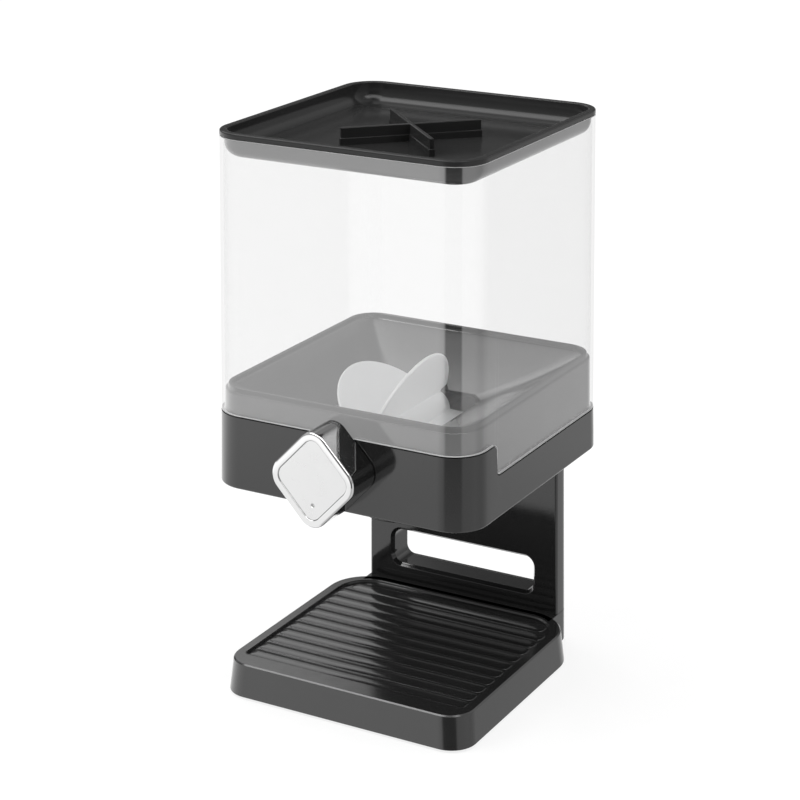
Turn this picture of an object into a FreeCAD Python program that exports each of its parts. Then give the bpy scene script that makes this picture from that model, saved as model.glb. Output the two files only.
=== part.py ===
import FreeCAD, Part
import math
import os

from FreeCAD import Vector

# A countertop cereal dispenser: a clear canister with a lift-off lid stands on a black housing.
# A knob on the front turns a soft paddle wheel in a round chamber, and each turn drops a portion
# through the outlet on to the crumb tray of the base. A slotted column carries the housing.
#
# Frame: millimetres, +Z up, -Y is the front (knob side), +X is to the right of a person facing it.
# The pieces are drawn about the vertical centreline of the canister, with Z = 0 on the table. When
# they are written out they move back, so that the origin is under the middle of the overall size.

os.makedirs("parts", exist_ok=True)

# ---- driving dimensions -------------------------------------------------------------------------

# canister and lid
CANISTER_TOP_WIDTH = 168.0
CANISTER_LOW_WIDTH = 166.0
DEPTH_EXTRA = 2.75
CANISTER_TOP_Z = 312.2
CANISTER_FRONT_Z = 158.3
CANISTER_SIDE_Z = 141.0
CANISTER_WALL = 1.8
CANISTER_RADIUS = 20.0
SKIRT_STEP_Y = -54.0
SKIRT_STEP_RADIUS = 4.0
SKIRT_GAP = 0.15

GASKET_THICK = 0.6
GASKET_INSET = 0.4
LID_TOP_Z = 315.5
LID_PLUG_GAP = 0.6
LID_WALL = 1.8
LID_FLOOR_Z = 302.3
LID_RIM_WIDTH = 4.0
LID_RIM_EDGE = 0.8
LID_PLUG_TAPER = 0.4
LID_HOLLOW_TAPER = 0.6
LID_COVE = 4.5
LID_PLUG_FILLET = 3.5

GRIP_LENGTH = 84.0
GRIP_TOP_Z = 312.3
GRIP_THICK = 2.6
GRIP_FOOT_THICK = 3.8
GRIP_FOOT_HEIGHT = 3.9

# housing, hopper and chamber
HOUSING_WIDTH = 166.0
HOUSING_BOTTOM_Z = 118.0
HOUSING_WALL = 1.8
HOUSING_FLOOR = 2.5
HOUSING_EDGE = 1.2
BOWL_HOLE_RADIUS = 43.6

COLLAR_GAP = 0.3
COLLAR_WIDTH = HOUSING_WIDTH - 2 * CANISTER_WALL - 2 * COLLAR_GAP
COLLAR_STEP = 0.5
COLLAR_WALL = 2.2
COLLAR_TOP_Z = 172.8
COLLAR_BOTTOM_Z = 132.0
FUNNEL_RIM_Z = 170.8
FUNNEL_THICK = 2.4

AXIS_Y = -10.0
AXIS_Z = 141.7
CHAMBER_RADIUS = 46.0
CHAMBER_WALL = 2.2
THROAT_Z = 152.0
FLANGE_RADIUS = 56.0
FLANGE_THICK = 2.5
FLANGE_BOSS_HEIGHT = 9.0
THROAT_FLAT_ANGLE = 34.0
OUTLET_RADIUS = 23.0
OUTLET_BOTTOM_Z = 95.0
CHUTE_DEPTH = 41.0
SPOUT_DEPTH = 30.0

# paddle wheel and its shaft
VANE_COUNT = 5
VANE_RADIUS = 44.8
VANE_THICK = 1.8
VANE_FIRST_ANGLE = 40.0
HUB_RADIUS = 9.0
HUB_LENGTH = 84.0
SLEEVE_RADIUS = 11.0
SLEEVE_LENGTH = 76.0
SHAFT_RADIUS = 4.0
SHAFT_FLAT = 3.0
SHAFT_FRONT_Y = -102.0
SHAFT_REAR_Y = 52.0
RUNNING_GAP = 0.05
FIT_GAP = 0.02
FACE_GAP = 0.1

BUSH_RADIUS = 7.0
BUSH_FLANGE_RADIUS = 9.5
BUSH_FLANGE_THICK = 1.5
BUSH_BOSS_RADIUS = 10.0
BUSH_NOTCH = 11.0

CLIP_Y = 48.8
CLIP_THICK = 0.8
CLIP_RADIUS = 7.0
CLIP_GROOVE_RADIUS = 3.2
CLIP_PLAY = 0.05
HUB_COLLAR_RADIUS = 9.8
HUB_COLLAR_THICK = 2.0
VANE_ROOT_CLEAR = 3.0
BUSH_INSET = 0.6
THREAD_DEPTH = 12.0

# knob
KNOB_HALF = 20.9
KNOB_RADIUS = 9.9
KNOB_FRONT_Y = -109.6
KNOB_BACK_Y = -86.4
KNOB_TURN = 45.0
KNOB_WALL = 2.4
KNOB_EDGE = 1.4
KNOB_RING = 4.2
KNOB_RECESS = 2.4
KNOB_WEB = 2.6
KNOB_BOSS_RADIUS = 7.5
KNOB_SCREW_DEPTH = 2.6
KNOB_SCREW_LENGTH = 15.0
KNOB_SCREW_GAP = 0.6
PLATE_GAP = 0.35
PLATE_THICK = 1.9
PLATE_EDGE = 0.6
DIMPLE_RADIUS = 1.1
DIMPLE_DROP = 13.5
DIMPLE_PROUD = 0.5

# base and crumb tray
BASE_WIDTH = 154.0
BASE_DRAFT = 1.5
BASE_FRONT_Y = -82.5
BASE_REAR_Y = 62.0
BASE_TOP_Z = 19.0
BASE_BOTTOM_Z = 1.2
BASE_FRONT_RADIUS = 15.0
BASE_REAR_RADIUS = 25.0
BASE_WALL = 2.2
BASE_EDGE = 0.9

TRAY_HALF = 69.5
TRAY_FRONT_Y = -68.5
TRAY_REAR_Y = 55.0
TRAY_DEPTH = 1.4
TRAY_FRONT_RADIUS = 3.0
TRAY_REAR_RADIUS = 19.0
RIB_COUNT = 11
RIB_PITCH = 10.67
RIB_WIDTH = 8.8
RIB_HEIGHT = 0.9
RIB_HALF_LENGTH = 68.0
RIB_END_RADIUS = 3.0
RIB_FIRST_GAP = 0.6
LAST_RIB_SHORTER = 5.0

COVER_THICK = 2.0
COVER_GAP = 0.5
FOOT_RADIUS = 6.5
FOOT_HEIGHT = 2.0
FOOT_SOCKET_DEPTH = 0.8
FOOT_SOCKET_GAP = 0.05
FOOT_EDGE = 0.4
FOOT_X = 62.0
FOOT_Y = (-68.0, 42.0)
HEEL_FRONT_Y = 30.0

# column
COLUMN_WIDTH = 126.0
COLUMN_FRONT_Y = 62.0
COLUMN_REAR_Y = 79.8
COLUMN_REAR_RADIUS = 10.0
COLUMN_FRONT_RADIUS = 1.5
COLUMN_WALL = 2.4
COLUMN_COVER_WIDTH = 104.0
COLUMN_COVER_THICK = 2.2
SLOT_WIDTH = 94.0
SLOT_BOTTOM_Z = 29.0
SLOT_TOP_Z = 49.0
SLOT_RADIUS = 5.5
SLOT_BEVEL = 1.6
POST_INSET = 1.2

# screws and the bosses that hold them
SCREW_RADIUS = 1.5
SCREW_CLEARANCE_RADIUS = 1.75
SCREW_HEAD_RADIUS = 2.8
SCREW_HEAD_HEIGHT = 2.0
SCREW_DRIVE_RADIUS = 1.2
SCREW_DRIVE_DEPTH = 1.1
BOSS_RADIUS = 3.6
PILOT_RADIUS = 1.52
LOW_HEAD_HEIGHT = 1.0
COVER_HEAD_DEPTH = 1.2
COVER_HEAD_HEIGHT = 1.1
COVER_HEAD_GAP = 0.2
COVER_SCREW_LENGTH = 10.0

HOPPER_BOSS = 60.0
HOPPER_JOINT_Z = 147.0
HOPPER_SHELF = 3.0
HOPPER_SCREW_LENGTH = 13.0
HOPPER_PILOT_DEPTH = 12.0
HOUSING_BOSS_RADIUS = 5.2
HOUSING_BOSS_BORE = 3.4
CHUTE_SCREW_LENGTH = 9.0
CHUTE_PILOT_DEPTH = 8.0
COLUMN_HEAD_X = 45.0
COLUMN_FOOT_X = 54.0
COLUMN_SCREW_Y = 71.0
COLUMN_HEAD_SCREW_LENGTH = 12.0
COLUMN_FOOT_SCREW_LENGTH = 14.0
COLUMN_BOSS_HEIGHT = 14.0
COLUMN_PILOT_DEPTH = 13.0
BASE_SCREW_X = 50.0
BASE_SCREW_Y = (-60.0, 34.0)
BASE_BOSS_TOP_GAP = 5.0
COVER_SCREW_PLACES = ((-36.0, 62.0), (36.0, 62.0), (-36.0, 104.0), (36.0, 104.0))

ALONG_X = Vector(1, 0, 0)
ALONG_Y = Vector(0, 1, 0)
ALONG_Z = Vector(0, 0, 1)
CHAMBER_CENTRE = Vector(0, AXIS_Y, AXIS_Z)

# the knob reaches further forward than the canister reaches back, so the middle lies in front
OVERALL_MIDDLE_Y = (KNOB_FRONT_Y + CANISTER_TOP_WIDTH / 2 + DEPTH_EXTRA) / 2

# ---- shared shapes ------------------------------------------------------------------------------


def arc(start, end, centre, radius):
    """Quarter-turn edge from start to end, bulging away from centre."""
    middle = (start + end) * 0.5 - centre
    middle.normalize()
    return Part.Arc(start, centre + middle * radius, end).toShape()


def line(start, end):
    return Part.LineSegment(start, end).toShape()


def rounded_outline(x_half, y_front, y_rear, front_radius, rear_radius, z):
    """Closed outline, symmetric about X = 0, with one corner radius in front and one behind."""
    f = front_radius
    r = rear_radius
    left = -x_half
    right = x_half
    p = [Vector(left + f, y_front, z), Vector(right - f, y_front, z),
         Vector(right, y_front + f, z), Vector(right, y_rear - r, z),
         Vector(right - r, y_rear, z), Vector(left + r, y_rear, z),
         Vector(left, y_rear - r, z), Vector(left, y_front + f, z)]
    edges = [line(p[0], p[1]), arc(p[1], p[2], Vector(right - f, y_front + f, z), f),
             line(p[2], p[3]), arc(p[3], p[4], Vector(right - r, y_rear - r, z), r),
             line(p[4], p[5]), arc(p[5], p[6], Vector(left + r, y_rear - r, z), r),
             line(p[6], p[7]), arc(p[7], p[0], Vector(left + f, y_front + f, z), f)]
    return Part.Wire(edges)


def wall_outline(half, radius, z):
    """Outline of the canister and the parts that follow it: slightly deeper than wide."""
    return rounded_outline(half, -half - DEPTH_EXTRA, half + DEPTH_EXTRA, radius, radius, z)


def prism(outline, height):
    return Part.Face(outline).extrude(Vector(0, 0, height))


def wall_prism(half, radius, z_low, z_high):
    return prism(wall_outline(half, radius, z_low), z_high - z_low)


def wall_taper(half_low, half_high, radius, z_low, z_high):
    low = wall_outline(half_low, radius, z_low)
    high = wall_outline(half_high, radius, z_high)
    return Part.makeLoft([low, high], True, True)


def cylinder_z(radius, x, y, z_low, z_high):
    return Part.makeCylinder(radius, z_high - z_low, Vector(x, y, z_low), ALONG_Z)


def cylinder_y(radius, y_low, y_high, x=0.0, z=AXIS_Z):
    return Part.makeCylinder(radius, y_high - y_low, Vector(x, y_low, z), ALONG_Y)


def box(x_low, x_high, y_low, y_high, z_low, z_high):
    corner = Vector(x_low, y_low, z_low)
    return Part.makeBox(x_high - x_low, y_high - y_low, z_high - z_low, corner)


def four_corners(x, y):
    return [(x, y), (-x, y), (-x, -y), (x, -y)]


def fillet_where(shape, radius, test):
    """Round every edge whose mid-point passes the test."""
    edges = []
    for edge in shape.Edges:
        middle = edge.valueAt((edge.FirstParameter + edge.LastParameter) / 2)
        if test(middle, edge):
            edges.append(edge)
    return shape.makeFillet(radius, edges)


def at_height(z):
    def test(middle, edge):
        box_z = edge.BoundBox
        return abs(box_z.ZMin - z) < 0.01 and abs(box_z.ZMax - z) < 0.01
    return test


def screw_up(x, y, z_head_low, length):
    """Screw standing on its head: the head is below and the shank points up."""
    head = cylinder_z(SCREW_HEAD_RADIUS, x, y, z_head_low, z_head_low + SCREW_HEAD_HEIGHT)
    drive = cylinder_z(SCREW_DRIVE_RADIUS, x, y, z_head_low, z_head_low + SCREW_DRIVE_DEPTH)
    top = z_head_low + SCREW_HEAD_HEIGHT + length
    shank = cylinder_z(SCREW_RADIUS, x, y, z_head_low + SCREW_HEAD_HEIGHT, top)
    return head.fuse(shank).cut(drive).removeSplitter()


def turned(shape, centre, axis, degrees):
    copy = shape.copy()
    copy.rotate(centre, axis, degrees)
    return copy


def save(name, shape):
    placed = shape.copy()
    placed.translate(Vector(0, -OVERALL_MIDDLE_Y, 0))
    placed.exportStep("parts/" + name + ".step")


# ---- canister -----------------------------------------------------------------------------------


def canister_half(z):
    """Half the outer width of the canister at height z: the walls open slightly upwards."""
    low = CANISTER_LOW_WIDTH / 2
    rise = (z - CANISTER_FRONT_Z) / (CANISTER_TOP_Z - CANISTER_FRONT_Z)
    return low + (CANISTER_TOP_WIDTH / 2 - low) * rise


def below_skirt(shift):
    """Everything under the stepped lower edge of the canister, moved down and forward by shift."""
    reach = 120.0
    r = SKIRT_STEP_RADIUS
    front_z = CANISTER_FRONT_Z - shift
    side_z = CANISTER_SIDE_Z - shift
    step = SKIRT_STEP_Y - shift

    def at(y, z):
        return Vector(-reach, y, z)

    points = [at(-reach, 0), at(-reach, front_z), at(step - r, front_z), at(step, front_z - r),
              at(step, side_z + r), at(step + r, side_z), at(reach, side_z), at(reach, 0)]
    edges = [line(points[0], points[1]), line(points[1], points[2]),
             arc(points[2], points[3], at(step - r, front_z - r), r),
             line(points[3], points[4]),
             arc(points[4], points[5], at(step + r, side_z + r), r),
             line(points[5], points[6]), line(points[6], points[7]), line(points[7], points[0])]
    return Part.Face(Part.Wire(edges)).extrude(Vector(2 * reach, 0, 0))


def canister():
    low_z = CANISTER_SIDE_Z - 1
    low = canister_half(low_z)
    high = canister_half(CANISTER_TOP_Z)
    wall = CANISTER_WALL
    outer = wall_taper(low, high, CANISTER_RADIUS, low_z, CANISTER_TOP_Z)
    inner = wall_taper(low - wall, high - wall, CANISTER_RADIUS - wall, low_z, CANISTER_TOP_Z)
    return outer.cut(inner).cut(below_skirt(0.0))


# ---- lid ----------------------------------------------------------------------------------------


def lid_gasket():
    outer = canister_half(CANISTER_TOP_Z) - GASKET_INSET
    inner = canister_half(CANISTER_TOP_Z) - CANISTER_WALL
    top = CANISTER_TOP_Z + GASKET_THICK
    ring = wall_prism(outer, CANISTER_RADIUS - GASKET_INSET, CANISTER_TOP_Z, top)
    return ring.cut(wall_prism(inner, CANISTER_RADIUS - CANISTER_WALL, CANISTER_TOP_Z, top))


def lid_grip():
    """Cross-shaped grip: two thin blades on the diagonals of the lid, each on a thicker foot."""
    blade = box(-GRIP_LENGTH / 2, GRIP_LENGTH / 2, -GRIP_THICK / 2, GRIP_THICK / 2,
                LID_FLOOR_Z, GRIP_TOP_Z)
    foot_half = GRIP_LENGTH / 2 + (GRIP_FOOT_THICK - GRIP_THICK) / 2
    foot = box(-foot_half, foot_half, -GRIP_FOOT_THICK / 2, GRIP_FOOT_THICK / 2,
               LID_FLOOR_Z - LID_WALL / 2, LID_FLOOR_Z + GRIP_FOOT_HEIGHT)
    bar = blade.fuse(foot)
    first = turned(bar, Vector(0, 0, 0), ALONG_Z, 45)
    second = turned(bar, Vector(0, 0, 0), ALONG_Z, -45)
    return first.fuse(second)


def lid_tray():
    rim_low = CANISTER_TOP_Z + GASKET_THICK
    rim_half = CANISTER_TOP_WIDTH / 2
    plug_half = rim_half - CANISTER_WALL - LID_PLUG_GAP
    plug_radius = CANISTER_RADIUS - CANISTER_WALL - LID_PLUG_GAP
    under_z = LID_FLOOR_Z - LID_WALL
    rim = wall_prism(rim_half, CANISTER_RADIUS, rim_low, LID_TOP_Z)
    rim = fillet_where(rim, LID_RIM_EDGE, at_height(LID_TOP_Z))
    plug = wall_taper(plug_half - LID_PLUG_TAPER, plug_half, plug_radius, under_z, rim_low)
    plug = fillet_where(plug, LID_PLUG_FILLET, at_height(under_z))
    inner_half = rim_half - LID_RIM_WIDTH
    inner_radius = CANISTER_RADIUS - LID_RIM_WIDTH
    hollow = wall_taper(inner_half - LID_HOLLOW_TAPER, inner_half, inner_radius, LID_FLOOR_Z, LID_TOP_Z)
    hollow = fillet_where(hollow, LID_COVE, at_height(LID_FLOOR_Z))
    return rim.fuse(plug).cut(hollow).fuse(lid_grip()).removeSplitter()


# ---- housing ------------------------------------------------------------------------------------


def housing_shell():
    """Open-topped casing with four screw towers: each has a bore from below and a shelf for the screw."""
    half = HOUSING_WIDTH / 2
    wall = HOUSING_WALL
    floor_z = HOUSING_BOTTOM_Z + HOUSING_FLOOR
    outer = wall_prism(half, CANISTER_RADIUS, HOUSING_BOTTOM_Z, CANISTER_FRONT_Z)
    outer = fillet_where(outer, HOUSING_EDGE, at_height(HOUSING_BOTTOM_Z))
    inner = wall_prism(half - wall, CANISTER_RADIUS - wall, floor_z, CANISTER_FRONT_Z)
    shell = outer.cut(inner).common(below_skirt(SKIRT_GAP))
    shelf_z = HOPPER_JOINT_Z - HOPPER_SHELF
    for x, y in four_corners(HOPPER_BOSS, HOPPER_BOSS):
        shell = shell.fuse(cylinder_z(HOUSING_BOSS_RADIUS, x, y, HOUSING_BOTTOM_Z, HOPPER_JOINT_Z))
        shell = shell.cut(cylinder_z(HOUSING_BOSS_BORE, x, y, HOUSING_BOTTOM_Z, shelf_z))
        shell = shell.cut(cylinder_z(SCREW_CLEARANCE_RADIUS, x, y, shelf_z, HOPPER_JOINT_Z))
    shell = shell.cut(cylinder_z(BOWL_HOLE_RADIUS, 0, AXIS_Y, HOUSING_BOTTOM_Z - 1, floor_z + 1))
    for x in (-COLUMN_HEAD_X, COLUMN_HEAD_X):
        shell = shell.cut(cylinder_z(SCREW_CLEARANCE_RADIUS, x, COLUMN_SCREW_Y,
                                     HOUSING_BOTTOM_Z - 1, floor_z + 1))
    front = -half - DEPTH_EXTRA
    shell = shell.cut(cylinder_y(BUSH_RADIUS + FIT_GAP, front - 1, front + wall + 1))
    return shell.removeSplitter()


def column_head_screws():
    """Two screws, heads inside the housing, that pull its floor on to the top of the column."""
    screws = []
    head_low = HOUSING_BOTTOM_Z + HOUSING_FLOOR
    for x in (-COLUMN_HEAD_X, COLUMN_HEAD_X):
        centre = Vector(x, COLUMN_SCREW_Y, head_low + SCREW_HEAD_HEIGHT / 2)
        screw = screw_up(x, COLUMN_SCREW_Y, head_low, COLUMN_HEAD_SCREW_LENGTH)
        screws.append(turned(screw, centre, ALONG_X, 180))
    return Part.makeCompound(screws)


# ---- hopper and chute: the round chamber is split through the shaft's axis ------------------------


def chamber_ball(radius):
    return Part.makeSphere(radius, CHAMBER_CENTRE)


def flange_points():
    """Places of the four flange screws, clear of the shaft in front and behind."""
    reach = (FLANGE_RADIUS + CHAMBER_RADIUS + CHAMBER_WALL) / 2
    places = []
    for degrees in (35, 145, 215, 325):
        angle = math.radians(degrees)
        places.append((reach * math.cos(angle), AXIS_Y + reach * math.sin(angle)))
    return places


def bush_bosses(z_low, z_high):
    """Round bosses in front and behind that carry the bushes, kept between two heights."""
    near = CHAMBER_RADIUS - 1
    front = cylinder_y(BUSH_BOSS_RADIUS, AXIS_Y - FLANGE_RADIUS, AXIS_Y - near)
    rear = cylinder_y(BUSH_BOSS_RADIUS, AXIS_Y + near, AXIS_Y + FLANGE_RADIUS)
    reach = FLANGE_RADIUS + 1
    keep = box(-reach, reach, AXIS_Y - reach, AXIS_Y + reach, z_low, z_high)
    return front.fuse(rear).common(keep)


def bush_bores():
    reach = FLANGE_RADIUS + 2
    return cylinder_y(BUSH_RADIUS + FIT_GAP, AXIS_Y - reach, AXIS_Y + reach)


def split_ring(radius, z):
    """Eight arcs round a circle at the throat, matching the eight edges of the collar outline."""
    points = []
    for middle in (-90, 0, 90, 180):
        points.append(math.radians(middle - THROAT_FLAT_ANGLE))
        points.append(math.radians(middle + THROAT_FLAT_ANGLE))
    edges = []
    for index, start in enumerate(points):
        end = points[(index + 1) % len(points)]
        if end < start:
            end += 2 * math.pi
        edges.append(Part.Arc(ring_point(radius, start, z), ring_point(radius, (start + end) / 2, z),
                              ring_point(radius, end, z)).toShape())
    return Part.Wire(edges)


def ring_point(radius, angle, z):
    return Vector(radius * math.cos(angle), AXIS_Y + radius * math.sin(angle), z)


def hopper_funnel():
    half = COLLAR_WIDTH / 2
    radius = CANISTER_RADIUS - CANISTER_WALL - COLLAR_GAP
    inner_half = half - COLLAR_WALL
    inner_radius = radius - COLLAR_WALL
    throat = math.sqrt(CHAMBER_RADIUS ** 2 - (THROAT_Z - AXIS_Z) ** 2)
    collar = wall_prism(half, radius, COLLAR_BOTTOM_Z, COLLAR_TOP_Z)
    collar = collar.cut(wall_prism(inner_half, inner_radius, COLLAR_BOTTOM_Z, COLLAR_TOP_Z))
    slope = Part.makeLoft([split_ring(throat + CHAMBER_WALL, THROAT_Z - FUNNEL_THICK),
                           wall_outline(half - COLLAR_STEP, radius, FUNNEL_RIM_Z - FUNNEL_THICK)], True, True)
    cap = wall_prism(half - COLLAR_STEP, radius, FUNNEL_RIM_Z - FUNNEL_THICK, FUNNEL_RIM_Z)
    mouth = Part.makeLoft([split_ring(throat, THROAT_Z),
                           wall_outline(inner_half, inner_radius, FUNNEL_RIM_Z)], True, True)
    hopper = collar.fuse(slope).fuse(cap)
    neck = chamber_ball(CHAMBER_RADIUS + CHAMBER_WALL).common(
        cylinder_z(FLANGE_RADIUS, 0, AXIS_Y, AXIS_Z, THROAT_Z - FUNNEL_THICK / 2))
    flange = cylinder_z(FLANGE_RADIUS, 0, AXIS_Y, AXIS_Z, AXIS_Z + FLANGE_THICK)
    hopper = hopper.fuse(neck).fuse(flange).fuse(bush_bosses(AXIS_Z, AXIS_Z + BUSH_BOSS_RADIUS))
    for x, y in flange_points():
        hopper = hopper.fuse(cylinder_z(BOSS_RADIUS, x, y, AXIS_Z, AXIS_Z + FLANGE_BOSS_HEIGHT))
    for x, y in four_corners(HOPPER_BOSS, HOPPER_BOSS):
        hopper = hopper.fuse(cylinder_z(BOSS_RADIUS, x, y, HOPPER_JOINT_Z, FUNNEL_RIM_Z - 2 * FUNNEL_THICK))
    hopper = hopper.cut(mouth).cut(chamber_ball(CHAMBER_RADIUS))
    hopper = hopper.cut(cylinder_z(throat, 0, AXIS_Y, THROAT_Z - FUNNEL_THICK, THROAT_Z))
    for x, y in flange_points():
        hopper = hopper.cut(cylinder_z(PILOT_RADIUS, x, y, AXIS_Z, AXIS_Z + CHUTE_PILOT_DEPTH))
    for x, y in four_corners(HOPPER_BOSS, HOPPER_BOSS):
        hopper = hopper.cut(cylinder_z(PILOT_RADIUS, x, y, HOPPER_JOINT_Z,
                                       HOPPER_JOINT_Z + HOPPER_PILOT_DEPTH))
    front = -half - DEPTH_EXTRA
    notch = box(-BUSH_NOTCH, BUSH_NOTCH, front - 1, front + COLLAR_WALL + 1, COLLAR_BOTTOM_Z,
                AXIS_Z + BUSH_NOTCH)
    return hopper.cut(bush_bores()).cut(notch).removeSplitter()


def outlet_chute():
    """Lower half of the chamber, with the round outlet and the flange that closes the chamber."""
    outer = chamber_ball(CHAMBER_RADIUS + CHAMBER_WALL)
    spout = cylinder_z(OUTLET_RADIUS + CHAMBER_WALL, 0, AXIS_Y, OUTLET_BOTTOM_Z, AXIS_Z - SPOUT_DEPTH)
    flange = cylinder_z(FLANGE_RADIUS, 0, AXIS_Y, AXIS_Z - FLANGE_THICK, AXIS_Z)
    chute = outer.common(cylinder_z(FLANGE_RADIUS, 0, AXIS_Y, AXIS_Z - CHUTE_DEPTH, AXIS_Z))
    chute = chute.fuse(spout).fuse(flange).fuse(bush_bosses(AXIS_Z - BUSH_BOSS_RADIUS, AXIS_Z))
    chute = chute.cut(chamber_ball(CHAMBER_RADIUS))
    chute = chute.cut(cylinder_z(OUTLET_RADIUS, 0, AXIS_Y, OUTLET_BOTTOM_Z - 1, AXIS_Z))
    for x, y in flange_points():
        chute = chute.cut(cylinder_z(SCREW_CLEARANCE_RADIUS, x, y, AXIS_Z - FLANGE_THICK - 1, AXIS_Z + 1))
    return chute.cut(bush_bores()).removeSplitter()


def chute_screws():
    screws = []
    head_low = AXIS_Z - FLANGE_THICK - SCREW_HEAD_HEIGHT
    for x, y in flange_points():
        screws.append(screw_up(x, y, head_low, CHUTE_SCREW_LENGTH))
    return Part.makeCompound(screws)


def hopper_screws():
    screws = []
    head_low = HOPPER_JOINT_Z - HOPPER_SHELF - SCREW_HEAD_HEIGHT
    for x, y in four_corners(HOPPER_BOSS, HOPPER_BOSS):
        screws.append(screw_up(x, y, head_low, HOPPER_SCREW_LENGTH))
    return Part.makeCompound(screws)


# ---- shaft, bushes and paddle wheel -------------------------------------------------------------


def d_section(radius, flat, y_low, y_high):
    """Round bar along Y with one flat on top."""
    bar = cylinder_y(radius, y_low, y_high)
    top = AXIS_Z + flat
    return bar.cut(box(-radius, radius, y_low, y_high, top, top + radius))


def drive_shaft():
    hub_front = AXIS_Y - HUB_LENGTH / 2
    hub_rear = AXIS_Y + HUB_LENGTH / 2
    shaft = cylinder_y(SHAFT_RADIUS, SHAFT_FRONT_Y, SHAFT_REAR_Y)
    above = AXIS_Z + SHAFT_FLAT
    top = AXIS_Z + SHAFT_RADIUS
    knob_flat = box(-SHAFT_RADIUS, SHAFT_RADIUS, SHAFT_FRONT_Y, KNOB_BACK_Y - 1, above, top)
    hub_flat = box(-SHAFT_RADIUS, SHAFT_RADIUS, hub_front, hub_rear, above, top)
    thread = cylinder_y(PILOT_RADIUS, SHAFT_FRONT_Y, SHAFT_FRONT_Y + THREAD_DEPTH)
    groove = cylinder_y(SHAFT_RADIUS, CLIP_Y, CLIP_Y + CLIP_THICK)
    groove = groove.cut(cylinder_y(CLIP_GROOVE_RADIUS, CLIP_Y, CLIP_Y + CLIP_THICK))
    return shaft.cut(knob_flat).cut(hub_flat).cut(thread).cut(groove)


def bush(y_low, y_high, flange_low):
    sleeve = cylinder_y(BUSH_RADIUS, y_low, y_high)
    flange = cylinder_y(BUSH_FLANGE_RADIUS, flange_low, flange_low + BUSH_FLANGE_THICK)
    bore = cylinder_y(SHAFT_RADIUS + RUNNING_GAP, y_low - 1, y_high + 1)
    return sleeve.fuse(flange).cut(bore).removeSplitter()


def front_bush():
    front = -HOUSING_WIDTH / 2 - DEPTH_EXTRA
    return bush(front, AXIS_Y - CHAMBER_RADIUS - BUSH_INSET, front + HOUSING_WALL + FACE_GAP)


def rear_bush():
    flange_low = AXIS_Y + FLANGE_RADIUS + FACE_GAP
    return bush(AXIS_Y + CHAMBER_RADIUS + BUSH_INSET, flange_low + BUSH_FLANGE_THICK, flange_low)


def shaft_clip():
    ring = cylinder_y(CLIP_RADIUS, CLIP_Y + CLIP_PLAY, CLIP_Y + CLIP_THICK - CLIP_PLAY)
    ring = ring.cut(cylinder_y(CLIP_GROOVE_RADIUS + FIT_GAP, CLIP_Y, CLIP_Y + CLIP_THICK))
    gap = CLIP_GROOVE_RADIUS * 0.8
    return ring.cut(box(-gap, gap, CLIP_Y, CLIP_Y + CLIP_THICK, AXIS_Z - CLIP_RADIUS, AXIS_Z))


def paddle_hub():
    front = AXIS_Y - HUB_LENGTH / 2
    rear = AXIS_Y + HUB_LENGTH / 2
    bore = d_section(SHAFT_RADIUS + FIT_GAP, SHAFT_FLAT + FIT_GAP, front - 1, rear + 1)
    hub = cylinder_y(HUB_RADIUS, front, rear)
    for side in (-1, 1):
        inner = AXIS_Y + side * (SLEEVE_LENGTH / 2 + FIT_GAP)
        outer = AXIS_Y + side * (SLEEVE_LENGTH / 2 + HUB_COLLAR_THICK)
        hub = hub.fuse(cylinder_y(HUB_COLLAR_RADIUS, min(inner, outer), max(inner, outer)))
    return hub.cut(bore).removeSplitter()


def vane():
    """Half disc that stands straight out of the hub along +X, thin in Z."""
    disc = Part.makeCylinder(VANE_RADIUS, VANE_THICK, CHAMBER_CENTRE - Vector(0, 0, VANE_THICK / 2),
                             ALONG_Z)
    keep = box(HUB_RADIUS, VANE_RADIUS + 1, AXIS_Y - VANE_RADIUS, AXIS_Y + VANE_RADIUS,
               AXIS_Z - VANE_THICK, AXIS_Z + VANE_THICK)
    root = SLEEVE_RADIUS + VANE_ROOT_CLEAR
    front_end = box(0, root, AXIS_Y - VANE_RADIUS, AXIS_Y - SLEEVE_LENGTH / 2,
                    AXIS_Z - VANE_THICK, AXIS_Z + VANE_THICK)
    rear_end = box(0, root, AXIS_Y + SLEEVE_LENGTH / 2, AXIS_Y + VANE_RADIUS,
                   AXIS_Z - VANE_THICK, AXIS_Z + VANE_THICK)
    return disc.common(keep).cut(front_end).cut(rear_end)


def paddle_vanes():
    """One soft moulding: a sleeve on the hub with half-disc vanes that wipe the round chamber."""
    half = SLEEVE_LENGTH / 2
    wheel = cylinder_y(SLEEVE_RADIUS, AXIS_Y - half, AXIS_Y + half)
    for index in range(VANE_COUNT):
        # turning +X about +Y by 180 + a degrees carries it to the direction a degrees above -X
        angle = VANE_FIRST_ANGLE + index * 360.0 / VANE_COUNT
        wheel = wheel.fuse(turned(vane(), CHAMBER_CENTRE, ALONG_Y, 180.0 + angle))
    wheel = wheel.cut(cylinder_y(HUB_RADIUS + FIT_GAP, AXIS_Y - half - 1, AXIS_Y + half + 1))
    return wheel.removeSplitter()


# ---- knob ---------------------------------------------------------------------------------------


def knob_outline(half, radius, y):
    """Rounded square in the XZ plane, centred on the shaft's axis."""
    outline = rounded_outline(half, -half, half, radius, radius, 0.0)
    outline.rotate(Vector(0, 0, 0), ALONG_X, 90)
    outline.translate(Vector(0, y, AXIS_Z))
    return outline


def knob_prism(half, radius, y_low, y_high):
    return Part.Face(knob_outline(half, radius, y_low)).extrude(Vector(0, y_high - y_low, 0))


def at_depth(y):
    def test(middle, edge):
        span = edge.BoundBox
        return abs(span.YMin - y) < 0.01 and abs(span.YMax - y) < 0.01
    return test


def knob_floor_y():
    return KNOB_FRONT_Y + KNOB_RECESS


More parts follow.
